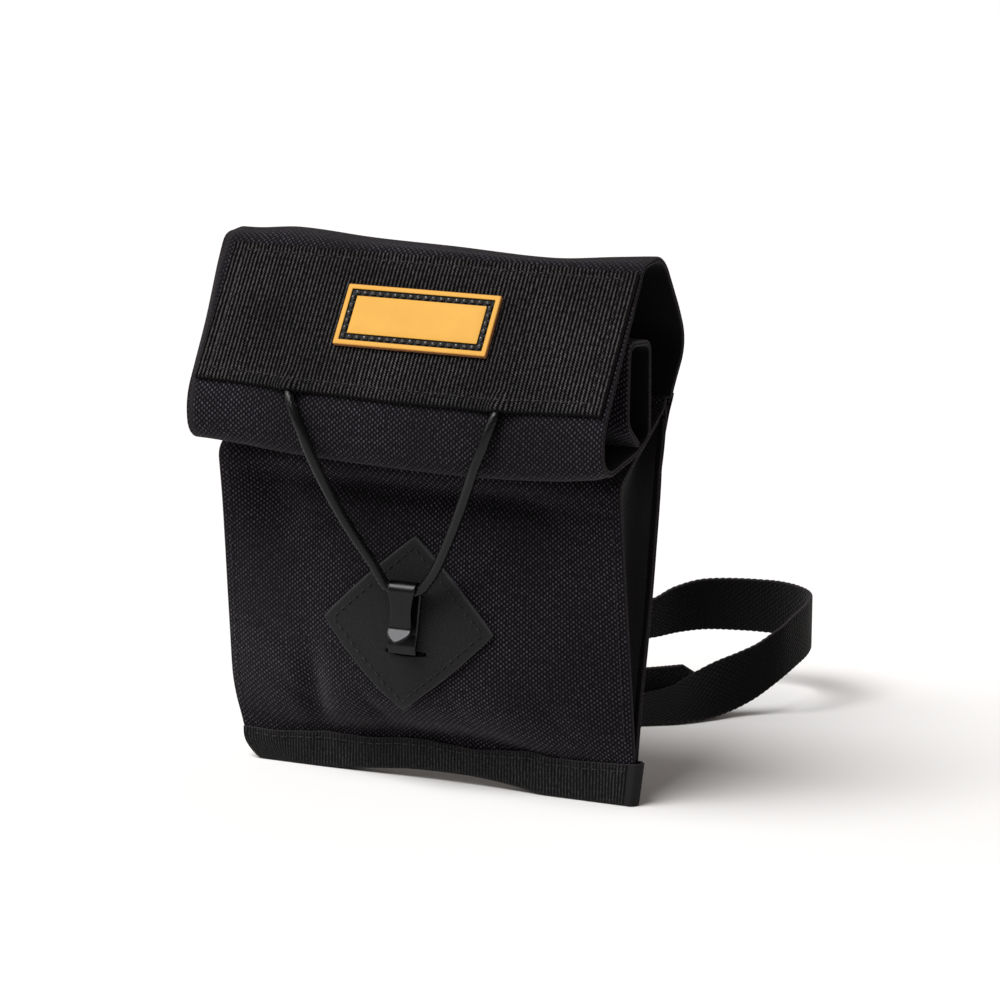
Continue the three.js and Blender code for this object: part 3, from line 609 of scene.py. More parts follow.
def on_plane(plane, x, up, out):
    """A point from a plane's foot: along x, up the plane and out from it."""
    foot, up_way, out_way = plane
    x, up, out = (value[..., None] for value in np.broadcast_arrays(x, up, out))
    return x * np.array([1, 0, 0]) + foot + up * up_way + out * out_way


roll_front = run_plane(roll_path, FRONT_RUN, -1)
band_middle = ROLLED_CLOTH / 2 + CLEARANCE + WEBBING / 2


def on_band(x, up, out):
    """A point of the band, whose foot sags along x by less and less towards its top, and bulges in a bell
    shape over each end of the cord."""
    sag = curve_through(BAND_SAG, x) * (1 - up / BAND_HEIGHT)
    over = bell((np.abs(x) - OVER_CORD["x"]) / OVER_CORD["wide"])
    bulge = OVER_CORD["out"] * over * (1 - smoothstep(up, 0, OVER_CORD["tall"]))
    return on_plane(roll_front, x, up + sag, out + bulge)


def ribs(position, pitch):
    """Rounded ribs: |sin(pi position / pitch)| to the power 0.7."""
    return np.abs(np.sin(np.pi * position / pitch)) ** 0.7


# Nylon webbing woven with ribs: painted shade, black, in the furrows, and a painted grey highlight along each
# cord.
nylon_webbing = woven(
    "nylon_webbing", ("#000000", "#565253", "#0d0d0d"), RIB, PICK / 2,
    relief=0.25, roughness=0.7, shine=0.04, ribbed=True, nap=0.015,
)
column_x = BAND_WIDTH / 2 - BAND_COLUMN_IN
band_x = stations(BAND_WIDTH, RIB / RIB_COLUMNS, RIB_RIM)[None, :] - BAND_WIDTH / 2
band_up = stations(BAND_HEIGHT, BAND_STEP, WEBBING / 2)[:, None]
band_uv = stacked(band_x, band_up)
band_grid = on_band(band_x, band_up, band_middle - RIB_RELIEF / 2)
# The stitches press the ribs down.
off_row = np.abs(band_up[..., None] - BAND_ROWS).min(axis=-1)
off_column = np.abs(np.abs(band_x) - column_x)
pressed = bell(np.minimum(off_row, off_column) / PRESSED["wide"])
band_ribs = RIB_RELIEF * ribs(band_x, RIB) * (1 - PRESSED["share"] * pressed)
band_sheet = sheet_of(band_grid, WEBBING, band_uv, band_ribs)
webbing_band = make_piece("webbing_band_weave", [band_sheet], nylon_webbing, "webbing", "webbing_band")

pressed_face = band_middle + WEBBING / 2 - RIB_RELIEF / 2 + PRESSED["proud"]
seam_ends = [((-column_x, up), (column_x, up)) for up in BAND_ROWS]
seam_ends += [((x, BAND_ROWS[0]), (x, BAND_ROWS[1])) for x in (-column_x, column_x)]
band_seams = []
for (x1, up1), (x2, up2) in seam_ends:
    seam_x, seam_up = (np.linspace(*ends, BAND_SEAM_POINTS) for ends in ((x1, x2), (up1, up2)))
    seam = on_band(seam_x, seam_up, pressed_face)
    band_seams.append(stitches(seam, np.broadcast_to(roll_front[2], seam.shape)))
make_piece("band_stitching", band_seams, polyester_thread, "webbing")

# Bottom binding
# Grosgrain tape folded round the bottom seam and sewn through near its upper edges. Its left end is folded
# under and round; at the right end, past the panels, its two legs are melted together.
BINDING_TAPE = 0.8
BINDING_WIDTH = 150
BINDING_FOLDS = [(-2.5, 12.6, 0), (-2.5, 0.4, 0.7), (2.5, 0.4, 0.7), (2.5, 12.6, 0)]
BINDING_RIB = 1.16
BINDING_PICK = 0.4
BINDING_RELIEF = 0.12
TAPE_STEP = 0.9
TAPE_COLUMNS = 5
TAPE_PUCKER = {"pitch": 13, "deep": 0.3, "stray": 0.8, "stray_over": 7}
MELTED = {"pinch": 0.8, "from": 72.8, "lean": 0.9, "lean_from": 60}
LEFT_END = {"in": 2.0, "rounding": 7.0, "from": 50}
LAST_RIB = 61
# Heights on the tape between which its puckers, its wavy top and its ribs set in.
PUCKERED = (3, 12)
WAVY = (3, 12.6)
RIBBED = (0.5, 2)
TAPE_TOP = [
    (-75, -1.6), (-58, -1.6), (-48, -0.5), (-40, 0), (-24, -1.5), (-5, -1.6), (14, -2.8), (26, -1.0),
    (36, 1.3), (45, 1.0), (60, 1.3), (75, 2.2),
]
BINDING_SEAM_UP = 10.2

# Grosgrain: a dull black ribbon with fine upright ribs, paler on their crowns: painted highlights.
grosgrain = woven(
    "grosgrain", ("#050505", "#3b393b", "#262426"), BINDING_RIB, BINDING_PICK,
    relief=0.1, roughness=0.75, shine=0.06, ribbed=True,
)
binding_path = folded_path(BINDING_FOLDS)
tape_length = stations(binding_path[1][-1], TAPE_STEP, BINDING_TAPE / 2)[:, None]
tape_share = tape_length / binding_path[1][-1]
tape_y, tape_z = walk(binding_path, tape_length)
tape_end = BINDING_WIDTH / 2
tape_flat = stations(BINDING_WIDTH, BINDING_RIB / TAPE_COLUMNS, BINDING_TAPE / 2)[None, :] - tape_end
tape_up = tape_z / tape_z.max()
tape_out = MELTED["lean"] * (2 * tape_up - 1) * smoothstep(tape_flat, MELTED["lean_from"], tape_end)
tape_y = tape_y * (1 - MELTED["pinch"] * smoothstep(tape_flat, MELTED["from"], tape_end))
tape_in = LEFT_END["in"] + LEFT_END["rounding"] * (1 - tape_up) ** 3
tape_x = tape_flat + tape_out + tape_in * smoothstep(-tape_flat, LEFT_END["from"], tape_end)
puckered = puckers(tape_x, TAPE_PUCKER) * smoothstep(tape_z, *PUCKERED)
tape_top = curve_through(TAPE_TOP, tape_x) * smoothstep(tape_z, *WAVY)
tape_rise = tape_z + tape_top + curve_through(SEAM_LIFT, tape_x)
tape_middle = stacked(tape_x, tape_y - puckered, tape_rise)[:, ::-1]
# The last few millimetres at the right are melted smooth, and the underside is flat.
ribbed_x = np.minimum(tape_flat, LAST_RIB * BINDING_RIB)
ribbed_length = tape_length * (tape_flat < LAST_RIB * BINDING_RIB)
tape_uv = stacked(ribbed_x, ribbed_length)[:, ::-1]
tape_ribs = (BINDING_RELIEF * ribs(ribbed_x, BINDING_RIB) * smoothstep(tape_z, *RIBBED))[:, ::-1]
tape_sheet = sheet_of(tape_middle, BINDING_TAPE, tape_uv, tape_ribs)
bottom_binding = make_piece("bottom_binding_tape", [tape_sheet], grosgrain, "grosgrain", "bottom_binding")

tape_normal = normals_of(tape_middle)
seam_columns = np.abs(tape_flat[0, ::-1]) < LAST_RIB * BINDING_RIB
tape_seams = []
for leg in (tape_share[:, 0] < 0.5, tape_share[:, 0] > 0.5):
    row = np.argmin(np.where(leg, np.abs(tape_z[:, 0] - BINDING_SEAM_UP), np.inf))
    out = tape_normal[row, seam_columns]
    tape_face = tape_middle[row, seam_columns] + (BINDING_TAPE / 2 + BINDING_RELIEF / 2) * out
    tape_seams.append(stitches(tape_face, out))
make_piece("binding_stitching", tape_seams, polyester_thread, "grosgrain")

# Label
# A moulded rubber plate with a raised border and a bare raised field, and a black groove between them. It is
# sewn to the band through the groove with thick waxed thread.
LABEL_SIZE = (55.7, 22.2)
LABEL_X = 1.8
LABEL_UP = 26.6
LABEL_CORNER = {"outer": 0.5, "taper": 0.3, "least": 0.35, "steps": 7}
LABEL_STITCH_IN = 3.0
LABEL_GROOVE_UP = 1.2
LABEL_STITCH = {"length": 2.5, "gap": 0.25, "thread": 1.35}
# The plate's section from the middle of its back round the edge and the groove: inset, height, black, side.
LABEL_SECTION = [
    (6.0, 0.0, 0, 0.6), (0.3, 0.0, 0, 1), (0.05, 0.1, 0, 1), (0.0, 0.4, 0, 1), (0.0, 1.3, 0, 1),
    (0.08, 1.62, 0, 0.7), (0.3, 1.76, 0, 0.1), (0.6, 1.8, 0, 0), (1.5, 1.8, 0, 0), (1.72, 1.76, 0, 0),
    (1.8, 1.65, 0.8, 0), (1.85, 1.3, 1, 0), (2.05, 1.2, 1, 0), (3.0, 1.16, 1, 0), (3.95, 1.2, 1, 0),
    (4.15, 1.3, 1, 0), (4.2, 1.65, 0.8, 0), (4.28, 1.76, 0, 0), (4.4, 1.8, 0, 0), (7.0, 1.83, 0, 0),
]


def label_ring(inset):
    """A rounded rectangle inset from the label's outline: straight sides and quarter circles, walked
    anticlockwise with stations close together at the corners."""
    corner = np.maximum(LABEL_CORNER["outer"] - LABEL_CORNER["taper"] * inset, LABEL_CORNER["least"])
    centres = np.array([(1, 1), (-1, 1), (-1, -1), (1, -1)]) * (np.array(LABEL_SIZE) / 2 - inset - corner)
    angle = np.linspace(0, np.pi / 2, LABEL_CORNER["steps"]) + np.arange(4)[:, None] * np.pi / 2
    ring = centres[:, None] + corner * stacked(np.cos(angle), np.sin(angle))
    return ring.reshape(-1, 2)


section = np.array(LABEL_SECTION)
rings = np.stack([label_ring(inset) for inset in section[:, 0]])
label_out = band_middle + WEBBING / 2 + CLEARANCE
label_x, label_up = LABEL_X + rings[..., 0], LABEL_UP + rings[..., 1]
label_points = on_plane(roll_front, label_x, label_up, label_out + section[:, 1:2])
count = rings.shape[1]
number = np.arange(len(section) * count).reshape(len(section), count)
closed = np.hstack([number, number[:, :1]])
label_faces = [quads(closed), number[-1:], number[:1, ::-1]]
label_uv = rings.reshape(-1, 2) / 1000

# Moulded rubber: an even, matt amber face, browner at the cut sides and black in the groove.
moulded_rubber, add = blank_material("moulded_rubber")
black_part = add("Attribute", {}, attribute_name="black")["Fac"]
side_part = add("Attribute", {}, attribute_name="side")["Fac"]
place = add("TexCoord", {})["Object"]
cloud = add("TexNoise", {"Vector": place, "Scale": 90.0, "Detail": 4.0})[0]
grain = add("TexNoise", {"Vector": place, "Scale": 2600.0, "Detail": 2.0})[0]
face = add("Mix", {0: cloud, 6: linear("#c28e36"), 7: linear("#cf9d46")}, data_type="RGBA")[2]
face = add("Mix", {0: side_part, 6: face, 7: linear("#93603c")}, data_type="RGBA")[2]
face = add("Mix", {0: black_part, 6: face, 7: linear("#040404")}, data_type="RGBA")[2]
bump = add("Bump", {"Strength": 0.25, "Distance": 0.00006, "Height": grain})[0]
rubber = {"Base Color": face, "Roughness": 0.55, "Specular IOR Level": 0.15, "Normal": bump}
add("OutputMaterial", {"Surface": add("BsdfPrincipled", rubber)[0]})

label_plate = (label_points.reshape(-1, 3), label_faces, label_uv, np.zeros(number.size))
label_patch = make_piece("label_plate", [label_plate], moulded_rubber, "label", "label_patch")
for name, column in (("black", 2), ("side", 3)):
    values = np.repeat(section[:, column], count)
    label_patch.data.attributes.new(name, "FLOAT", "POINT").data.foreach_set("value", values)

groove = label_ring(LABEL_STITCH_IN)
groove = np.vstack([groove, groove[:1]])
groove_x, groove_up = LABEL_X + groove[:, 0], LABEL_UP + groove[:, 1]
groove_line = on_plane(roll_front, groove_x, groove_up, label_out + LABEL_GROOVE_UP)
label_seam = stitches(groove_line, np.broadcast_to(roll_front[2], groove_line.shape), **LABEL_STITCH)
# Black waxed thread: thick and glossy, with painted highlights along its twist.
waxed_thread = woven(
    "waxed_thread", ("#0a0a0a", "#343234", "#343234"), *THREAD_TWIST, relief=0.05, roughness=0.3, shine=1.0
)
make_piece("label_stitching", [label_seam], waxed_thread, "label")

# Diamond patch
# A diamond of synthetic leather, cut with a slit that the hook comes out of. It is sewn to the front panel a
# little askew, with a row of stitches all round.
PATCH_LEATHER = 1.4
DIAMOND = {"x": -2.6, "z": 57.1, "half_wide": 31.3, "half_tall": 30.4, "power": 1.06}
SLIT = {"x": -1.6, "z": 48.2, "half_wide": 7.5, "half_tall": 1.0, "power": 4}
PATCH_LEAN = 0.07
PATCH_STITCH_IN = 2.6
PATCH_SPOKES = 320
PATCH_SEAM_POINTS = 161
# The heights of the two outermost rows at each rim, as shares of the leather, and the breadth of the painted
# highlight along the edge, as a share of the way to the slit.
PATCH_RIM = (0.25, 0.42)
PATCH_EDGE_HIGHLIGHT = 0.02
NORMAL_STEP = 0.6
patch_middle = CLOTH / 2 + CLEARANCE + PATCH_LEATHER / 2
patch_face = patch_middle + PATCH_LEATHER / 2


def run_y(folds, z):
    """The y at a height on the straight run of a panel's side view, between its second and third fold."""
    (low_y, low_z, _), (high_y, high_z, _) = folds[1:3]
    return low_y + (high_y - low_y) * (z - low_z) / (high_z - low_z)


def panel_point(x, z):
    """A point of the front cloth's middle, at x and a height on the panel below the knee."""
    return front_cloth(x, run_y(FRONT_FOLDS, z), z)


def over_front(x, z, out):
    """A point out from the front panel along its normal, which is the cross product of its tangents."""
    across = panel_point(x + NORMAL_STEP, z) - panel_point(x - NORMAL_STEP, z)
    upward = panel_point(x, z + NORMAL_STEP) - panel_point(x, z - NORMAL_STEP)
    return panel_point(x, z) + np.asarray(out)[..., None] * unit(np.cross(across, upward))


def outline(shape, angle):
    """The outline of the diamond or the slit at an angle from its centre: where |x/a|^p + |z/b|^p = 1."""
    c, s = np.cos(angle), np.sin(angle)
    power = shape["power"]
    far = (np.abs(c) / shape["half_wide"]) ** power + (np.abs(s) / shape["half_tall"]) ** power
    far = far ** (-1 / power)
    return shape["x"] + far * c, shape["z"] + far * s


def diamond_ring(share, angle):
    """The patch's flat shape: a line from the slit's outline, at share 0, to the diamond's, at 1, at each
    angle. It leans along x with height."""
    (slit_x, slit_z), (edge_x, edge_z) = outline(SLIT, angle), outline(DIAMOND, angle)
    ring_z = slit_z + share * (edge_z - slit_z)
    return slit_x + share * (edge_x - slit_x) + PATCH_LEAN * (ring_z - DIAMOND["z"]), ring_z


# The patch's section: over its face from the slit to the edge, round the edge, and back behind it.
face_share = np.concatenate([[0, 0.01, 0.03], np.linspace(0.06, 0.94, 24), [0.97, 0.985, 0.995, 1.0]])
face_out = PATCH_LEATHER / 2 * np.ones_like(face_share)
for i, rim in enumerate(PATCH_RIM):
    face_out[[i, -1 - i]] = rim * PATCH_LEATHER
ring_share = np.concatenate([face_share, face_share[::-1]])[:, None]
ring_out = np.concatenate([face_out, -face_out[::-1]])[:, None]
angle = np.linspace(0, 2 * np.pi, PATCH_SPOKES, endpoint=False)[None, :]
patch_x, patch_z = diamond_ring(ring_share, angle)
patch_points = over_front(patch_x, patch_z, patch_middle + ring_out * np.ones_like(angle))
rows, columns = patch_x.shape
number = np.arange(rows * columns).reshape(rows, columns)
closed = np.vstack([number, number[:1]])
closed = np.hstack([closed, closed[:, :1]])
patch_uv = stacked(patch_x, patch_z).reshape(-1, 2) / 1000
patch_edge = (bell((1 - ring_share) / PATCH_EDGE_HIGHLIGHT) * np.ones_like(angle)).ravel()
# Synthetic leather: dull black-grey with a very fine pressed grain, and a paler edge, a painted highlight.
GRAIN = (0.42, 0.42)
synthetic_leather = woven(
    "synthetic_leather", ("#131313", "#292929", "#343335"), *GRAIN, relief=0.08, roughness=0.6, shine=0.1
)
patch = (patch_points.reshape(-1, 3), [quads(closed)[:, ::-1]], patch_uv, patch_edge)
make_piece("diamond_leather", [patch], synthetic_leather, "synthetic_leather", "diamond_patch")

shrunk = 1 - PATCH_STITCH_IN * np.hypot(1 / DIAMOND["half_wide"], 1 / DIAMOND["half_tall"])
turn = np.linspace(0, 4, PATCH_SEAM_POINTS)
side_x = np.abs((turn + 4) % 4 - 2) - 1
side_z = 1 - np.abs((turn + 1) % 4 - 2)
seam_z = DIAMOND["z"] + shrunk * DIAMOND["half_tall"] * side_z
seam_x = DIAMOND["x"] + shrunk * DIAMOND["half_wide"] * side_x + PATCH_LEAN * (seam_z - DIAMOND["z"])
patch_seam = over_front(seam_x, seam_z, np.full_like(seam_x, patch_face))
patch_out = patch_seam - over_front(seam_x, seam_z, np.full_like(seam_x, patch_face - 1))
make_piece("diamond_stitching", [stitches(patch_seam, patch_out)], polyester_thread, "synthetic_leather")

# Cord hook
# One strip of black anodised aluminium, bent up out of the slit, over at the top and down again in front, and
# cut to a waist and a pointed tip.
HOOK_STRIP = 1.2
HOOK_X = -3.2
HOOK_WIDTHS = [(0, 10.4), (0.5, 11), (0.6, 10.4), (0.74, 7.8), (0.84, 7.8), (0.9, 9), (1, 9)]
HOOK_DRIFT = {"x": 0.9, "from": 0.4, "to": 0.9}
HOOK_TIP = {"share": 0.09, "power": 1.9, "blunt": 0.06}
HOOK_STEP = 0.35
HOOK_RIM = 0.3
HOOK_COLUMN = 0.06
# The height over which the panel's slope behind the hook is taken.
HOOK_BASE = 4
HOOK_FOLDS = [
    (-1.1, 0, 0), (0.5, 0, 0.5), (1.7, 2.4, 0.8), (0.95, 6.5, 3), (0.95, 24.6, 2.7), (6.4, 24.6, 2.7),
    (5.7, 9.2, 2), (9.1, 4.8, 0),
]

hook_seat = over_front(np.array(HOOK_X), np.array(SLIT["z"]), patch_face)
hook_up = over_front(np.array(HOOK_X), np.array(SLIT["z"] + HOOK_BASE), patch_face) - hook_seat
hook_up[0] = 0
hook_up = unit(hook_up)
hook_out = np.array([0, -hook_up[2], hook_up[1]])
hook_up[0] = PATCH_LEAN
hook_path = folded_path(HOOK_FOLDS)
hook_length = stations(hook_path[1][-1], HOOK_STEP, HOOK_RIM)[:, None]
hook_share = hook_length / hook_path[1][-1]
tip = np.clip((hook_share - 1 + HOOK_TIP["share"]) / HOOK_TIP["share"], 0, 1)
pointed = np.clip(1 - tip ** HOOK_TIP["power"], HOOK_TIP["blunt"], 1)
hook_width = curve_through(HOOK_WIDTHS, hook_share) * pointed
hook_across = stations(1.0, HOOK_COLUMN, HOOK_COLUMN)[None, :] - 0.5
out, up = walk(hook_path, hook_length)
drift = HOOK_DRIFT["x"] * smoothstep(hook_share, HOOK_DRIFT["from"], HOOK_DRIFT["to"])
hook_middle = on_plane((hook_seat, hook_up, hook_out), hook_across * hook_width + drift, up, out)
hook_uv = stacked(hook_across * hook_width, hook_length)

# Black anodised aluminium: a dark grey metal, a little misty, that gleams along its bends and at its tip.
anodised, add = blank_material("anodised_aluminium")
place = add("TexCoord", {})["Object"]
mist = add("TexNoise", {"Vector": place, "Scale": 160.0, "Detail": 4.0})[0]
rough = add("MapRange", {"Value": mist, 1: 0.3, 2: 0.7, 3: 0.22, 4: 0.34})[0]
fine = add("TexNoise", {"Vector": place, "Scale": 4000.0, "Detail": 2.0})[0]
bump = add("Bump", {"Strength": 0.15, "Distance": 0.00003, "Height": fine})[0]
tone = add("Mix", {0: mist, 6: linear("#242425"), 7: linear("#2f2f30")}, data_type="RGBA")[2]
metal = {"Base Color": tone, "Metallic": 1.0, "Roughness": rough, "Normal": bump}
add("OutputMaterial", {"Surface": add("BsdfPrincipled", metal)[0]})
hook_sheet = sheet_of(hook_middle[:, ::-1], HOOK_STRIP, hook_uv[:, ::-1])
make_piece("hook_strip", [hook_sheet], anodised, "black_metal", "cord_hook")

# Elastic cord
# A round elastic with a braided sheath, both ends sewn in under the band, drawn down over the front and
# round the hook.
CORD_DIAMETER = 3.6
CORD_SIDES = 16
CORD_STATIONS = 360
CORD_BLUNT = {"over": 1.5, "least": 0.1}
CORD_ROUTE = [
    (-38.6, -35.9, 137.6), (-34.6, -38.6, 130.5), (-31.2, -39.2, 124), (-28.8, -38.2, 117),
    (-23.4, -33, 101.5), (-17.7, -28.9, 89.3), (-12, -25.1, 78.7), (-9.8, -24, 74.3), (-8, -23.4, 71.5),
    (-5.2, -23.2, 70.3), (2.4, -23.2, 70.3), (5.2, -23.4, 71.5), (7.6, -24, 74.2), (10.8, -25.1, 78.4),
    (18.4, -29.6, 91.3), (28.1, -36.1, 110.6), (31, -38.2, 117), (34.2, -39.2, 124), (36.6, -38.6, 130.5),
    (38.6, -35.9, 137.6),
]


def through_points(points, t):
    """A centripetal Catmull-Rom curve through points, at t in 0 to 1, with as much of t for each gap: cubic
    pieces whose end slopes weigh the chords on both sides by the root of their lengths."""
    points = np.array(points, float)
    ends = 2 * points[[0, -1]] - points[[1, -2]]
    padded = np.vstack([ends[:1], points, ends[1:]])
    gaps = len(points) - 1
    i = np.clip((t * gaps).astype(int), 0, gaps - 1)
    w = (t * gaps - i)[..., None]
    a, b, c, d = (padded[i + k] for k in range(4))
    first, second, third = (
        np.sqrt(np.linalg.norm(q - p, axis=-1, keepdims=True)) for p, q in ((a, b), (b, c), (c, d))
    )
    second = np.where(second < 1e-4, 1, second)
    first = np.where(first < 1e-4, second, first)
    third = np.where(third < 1e-4, second, third)
    leave = ((b - a) / first - (c - a) / (first + second) + (c - b) / second) * second
    reach = ((c - b) / second - (d - b) / (second + third) + (d - c) / third) * second
    curve = (2 * b - 2 * c + leave + reach) * w**3 + (3 * c - 3 * b - 2 * leave - reach) * w**2
    return curve + leave * w + b


def tube_along(line, diameter, sides):
    """A closed tube: a ring square to the line at each station, in the plane of two directions that are
    square to the line's own, the first also square to Y. Both ends are drawn in along a quarter circle."""
    way = unit(np.gradient(line, axis=0))
    level = unit(np.cross(way, [0, 1, 0]))
    walked = walked_along(line)
    angle = np.linspace(0, 2 * np.pi, sides, endpoint=False)
    to_end = np.clip(np.minimum(walked, walked[-1] - walked) / (CORD_BLUNT["over"] * diameter), 0, 1)
    blunt = np.sqrt(np.clip(1 - (1 - to_end) ** 2, CORD_BLUNT["least"], 1))
    uv = stacked(angle * diameter / 2, walked[:, None])
    return ringed(line, level, np.cross(level, way), (diameter / 2 * blunt)[:, None], angle, uv)


cord_line = through_points(CORD_ROUTE, np.linspace(0, 1, CORD_STATIONS))
# A close braid of polyester over rubber: near black, with a gleam along its length.
BRAID = (0.5, 0.9)
braided_sheath = woven(
    "braided_sheath", ("#020202", "#0a090b", "#0a090b"), *BRAID, relief=0.03, roughness=0.3, shine=0.24, nap=0
)
cord_tube = tube_along(cord_line, CORD_DIAMETER, CORD_SIDES)
shock_cord = make_piece("shock_cord_braid", [cord_tube], braided_sheath, "elastic_cord", "shock_cord")

# Back webbing
# A narrower strip of the same ribbed webbing, sewn flat across the back below the roll. Its upper part stands
# out a little over the lap of the cloth behind it.
STRIP_WIDTH = 148
STRIP_HEIGHT = 18
STRIP_UP = 7.1
STRIP_STEP = 1.6
STRIP_LAP = {"out": 0.9, "from": 10}
BACK_RUN = 2
strip_x = STRIP_WIDTH / 2 - stations(STRIP_WIDTH, RIB / RIB_COLUMNS, RIB_RIM)[None, :]
strip_up = stations(STRIP_HEIGHT, STRIP_STEP, WEBBING / 2)[:, None]
over_lap = STRIP_LAP["out"] * smoothstep(strip_up, STRIP_LAP["from"], STRIP_HEIGHT)
strip_out = CLOTH / 2 + CLEARANCE + WEBBING / 2 - RIB_RELIEF / 2 + over_lap
strip = on_plane(run_plane(back_path, BACK_RUN, 1), strip_x, STRIP_UP + strip_up, strip_out)
strip_uv = stacked(strip_x, strip_up)
strip_ribs = RIB_RELIEF * ribs(strip_x, RIB) * np.ones_like(strip_up)
strip_sheet = sheet_of(strip, WEBBING, strip_uv, strip_ribs)
back_webbing = make_piece("back_webbing_weave", [strip_sheet], nylon_webbing, "webbing", "back_webbing")

# Strap
# A narrow webbing strap sewn flat to the back panel at its start. It leaves the back, comes down to the
# ground on its edge, loops round at its far end, and lies back under itself to an end cut at an angle.
STRAP_WIDTH = 20
STRAP_THICK = 1.5
STRAP_CUT = {"short": 0.8, "over": 3}
SEWN_STRETCH = {"from": -32, "to": -4, "stops": 4, "rise": 52, "proud": 0.4}
SERRATION = 2.3
LOOP_COLUMNS = 3
LOOP_DEPTH = 0.03
STRAP_PICK = 0.9
STRAP_STEP = 1.0
STRAP_POINTS = 4001
# The lower edge's route: x, y, height, and how far the upper edge leans along x and y.
STRAP_ROUTE = [
    (8.5, 16.1, 51.5, 0, 0.08), (11.5, 27.4, 49.5, 0, 0.05), (5, 48.6, 43.5, 0, 0),
    (-5.9, 74.4, 34, 0.07, -0.02), (-12.3, 102.4, 24.5, 0.17, -0.14), (-10.3, 126.5, 18.8, 0.24, -0.28),
    (-0.4, 143.2, 17, 0.23, -0.41), (12.8, 154.7, 17.5, 0.18, -0.5), (20.5, 161.5, 19, 0.06, -0.33),
    (28.7, 166.6, 20, 0, -0.14), (38, 170.6, 20, 0, -0.04), (49, 172.6, 20, 0, 0), (61.3, 171, 20, 0, 0),
    (70.5, 164.5, 19.3, 0, 0), (73.5, 155.2, 18, 0, 0), (72.4, 143.6, 15, 0, 0), (69.1, 135.8, 11, 0, 0),
    (64.2, 131, 6.5, -0.02, 0), (58.2, 124.3, 2.5, -0.13, 0.17), (52, 113.9, 0.3, -0.35, 0.51),
    (45.2, 105, 0, -0.45, 0.76), (36.5, 98.3, 0, -0.46, 0.82), (19, 87.1, 0, -0.3, 0.88),
    (-0.4, 79.2, 0, -0.05, 0.75), (-19.7, 78, 0, 0.24, 0.44), (-32.8, 87.3, 0, 0.42, 0.19),
    (-32.4, 102.9, 0, 0.45, -0.12), (-20.4, 115.1, 0, 0.32, -0.45), (-2.3, 123.5, 0, 0.28, -0.6),
    (14.5, 130.2, 0, 0.29, -0.62), (27, 138.7, 0, 0.28, -0.6), (43.7, 153.6, 0, 0.26, -0.56),
]


def against_back(x, z):
    """Where the sewn stretch lies behind the back panel: y at x and a height."""
    behind = CLOTH / 2 + CLEARANCE + STRAP_THICK / 2 + SEWN_STRETCH["proud"]
    return back_cloth(x, run_y(BACK_FOLDS, z), z)[..., 1] + behind


sewn_x = np.linspace(SEWN_STRETCH["from"], SEWN_STRETCH["to"], SEWN_STRETCH["stops"] + 1)
sewn_rise = np.full_like(sewn_x, SEWN_STRETCH["rise"])
sewn_y = against_back(sewn_x, sewn_rise)
sewn_lean = (against_back(sewn_x, sewn_rise + STRAP_WIDTH) - sewn_y) / STRAP_WIDTH
strap_route = np.vstack([stacked(sewn_x, sewn_y, sewn_rise, 0, sewn_lean), STRAP_ROUTE])
strap_gaps = len(strap_route) - 1


def strap_point(t, v):
    """A point of the strap: its lower edge's curve at t, and the share v of its width up from there in the
    direction of the tip. Near the free end the upper side is cut short."""
    near_end = np.clip(1 - strap_gaps * (1 - t) / STRAP_CUT["over"], 0, None)
    t = t - STRAP_CUT["short"] / strap_gaps * v * near_end
    edge = through_points(strap_route[:, :3], t)
    tip_way = through_points(np.c_[strap_route[:, 3:], np.zeros(len(strap_route))], t)
    lean = np.hypot(tip_way[..., 0], tip_way[..., 1])
    tip_way[..., 2] = np.sqrt(1 - lean**2)
    edge[..., 2] = np.maximum(edge[..., 2], 0) + STRAP_THICK / 2 * lean
    return edge + tip_way * (STRAP_WIDTH * v)[..., None]


dense = np.linspace(0, 1, STRAP_POINTS)
dense_line = strap_point(dense, np.full_like(dense, 0.5))
dense_walked = walked_along(dense_line)
strap_length = dense_walked[-1]
strap_walked = stations(strap_length, SERRATION / LOOP_COLUMNS, STRAP_THICK / 2)[None, :]
strap_across = stations(STRAP_WIDTH, STRAP_STEP, STRAP_THICK / 2)[:, None]
strap_t, strap_v = np.broadcast_arrays(
    np.interp(strap_walked, dense_walked, dense), strap_across / STRAP_WIDTH
)
# The weft turns round at each edge in small even loops.
loops = LOOP_DEPTH * np.abs(np.sin(np.pi * strap_walked / SERRATION))
strap_middle = strap_point(strap_t, 0.5 + (strap_v - 0.5) * (1 - LOOP_DEPTH + loops))
strap_uv = stacked(strap_walked, strap_across)
# Plain black webbing: dull, with faint painted highlights where its threads cross and along its edges.
strap_weave = woven(
    "strap_webbing", ("#050404", "#0f0d0e", "#262324"), SERRATION / 2, STRAP_PICK,
    relief=0.2, roughness=0.7, shine=0.06,
)
strap_sheet = sheet_of(strap_middle, STRAP_THICK, strap_uv)
strap = make_piece("strap_webbing", [strap_sheet], strap_weave, "webbing", "strap")

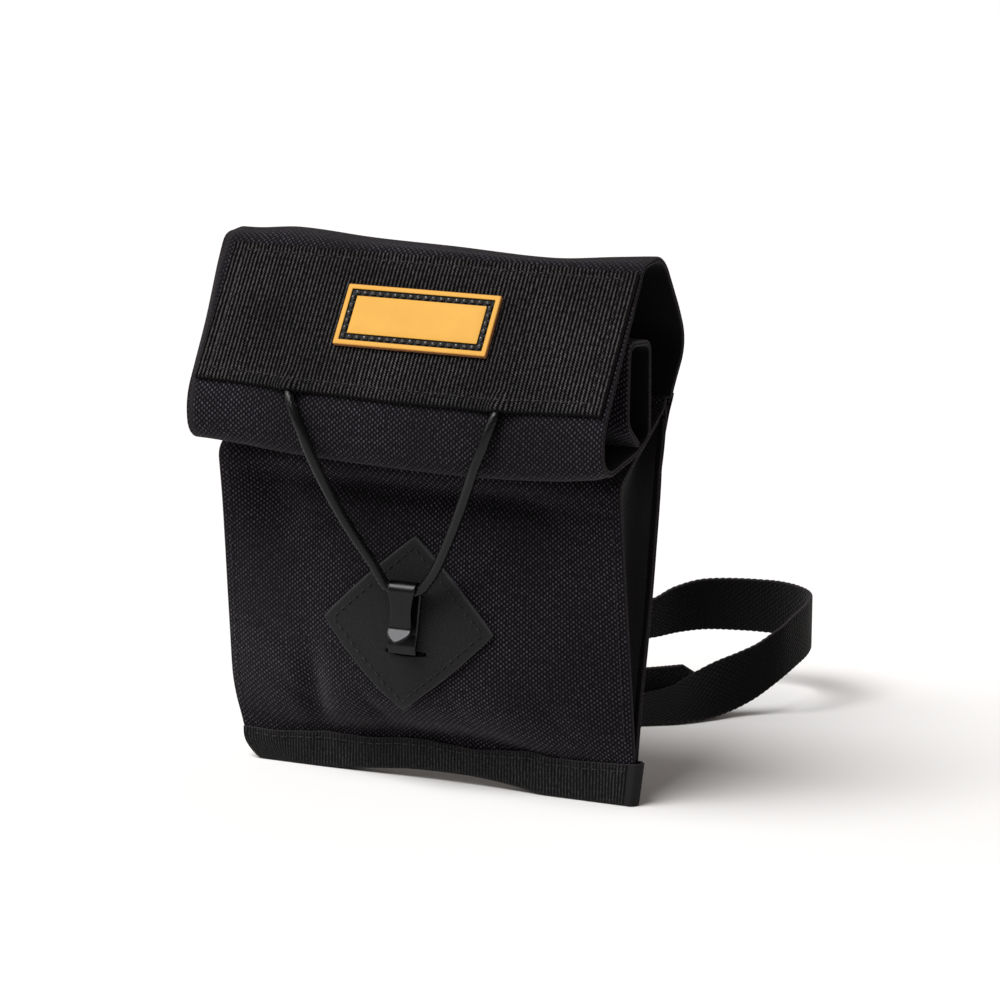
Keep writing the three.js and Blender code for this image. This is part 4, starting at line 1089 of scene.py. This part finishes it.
# Floor and light
# A plain white floor, a broad soft light from above the front and a weaker one from the left, and an even
# white surround.
FLOOR_HALF = 6.0
floor_mesh = bpy.data.meshes.new("floor")
corners = [(FLOOR_HALF * x, FLOOR_HALF * y, 0) for x, y in ((-1, -1), (1, -1), (1, 1), (-1, 1))]
floor_mesh.from_pydata(corners, [], [(0, 1, 2, 3)])
floor = bpy.data.objects.new("floor", floor_mesh)
bpy.context.scene.collection.objects.link(floor)
# A matt white board, on which shadows stay soft and grey.
white_floor, add = blank_material("white_floor")
board = {"Base Color": linear("#e2e1e0"), "Roughness": 0.9, "Specular IOR Level": 0.1}
add("OutputMaterial", {"Surface": add("BsdfPrincipled", board)[0]})
floor_mesh.materials.append(white_floor)

# Lights: the direction they come from, energy, and the angle they are seen under.
SOFT_LIGHTS = {
    "top_light": ((-0.25, -0.47, 0.85), 3.7, 38),
    "left_light": ((-0.74, -0.35, 0.57), 1.1, 50),
}
for name, (light_from, energy, angle) in SOFT_LIGHTS.items():
    lamp = bpy.data.lights.new(name, "SUN")
    lamp.energy = energy
    lamp.angle = np.radians(angle)
    light = bpy.data.objects.new(name, lamp)
    light.rotation_euler = Vector(light_from).to_track_quat("Z", "Y").to_euler()
    bpy.context.scene.collection.objects.link(light)
world = bpy.data.worlds.new("white_surround")
world.use_nodes = True
surround = world.node_tree.nodes["Background"].inputs
surround["Color"].default_value = linear("#fff5f0")
surround["Strength"].default_value = 0.22
bpy.context.scene.world = world
bpy.context.scene.view_settings.view_transform = "Standard"

# Camera
# It looks at the bag from the front right and a little above, through a long lens.
CAMERA_AT = np.array([641.97, -1332.68, 403.71])
CAMERA_TARGET = np.array([22.63, 0, 99.0])
CAMERA_ROLL = np.radians(0.47)
CAMERA_LENS = 162.4
ahead = Vector(CAMERA_TARGET - CAMERA_AT).to_track_quat("-Z", "Y").to_matrix()
lens = bpy.data.cameras.new("camera")
lens.lens = CAMERA_LENS
lens.sensor_fit = "HORIZONTAL"
lens.sensor_width = 36
lens.clip_end = 100
camera = bpy.data.objects.new("camera", lens)
turned = (ahead @ Matrix.Rotation(CAMERA_ROLL, 3, "Z")).to_4x4()
camera.matrix_world = Matrix.Translation(Vector(in_frame(CAMERA_AT))) @ turned
bpy.context.scene.collection.objects.link(camera)
bpy.context.scene.camera = camera
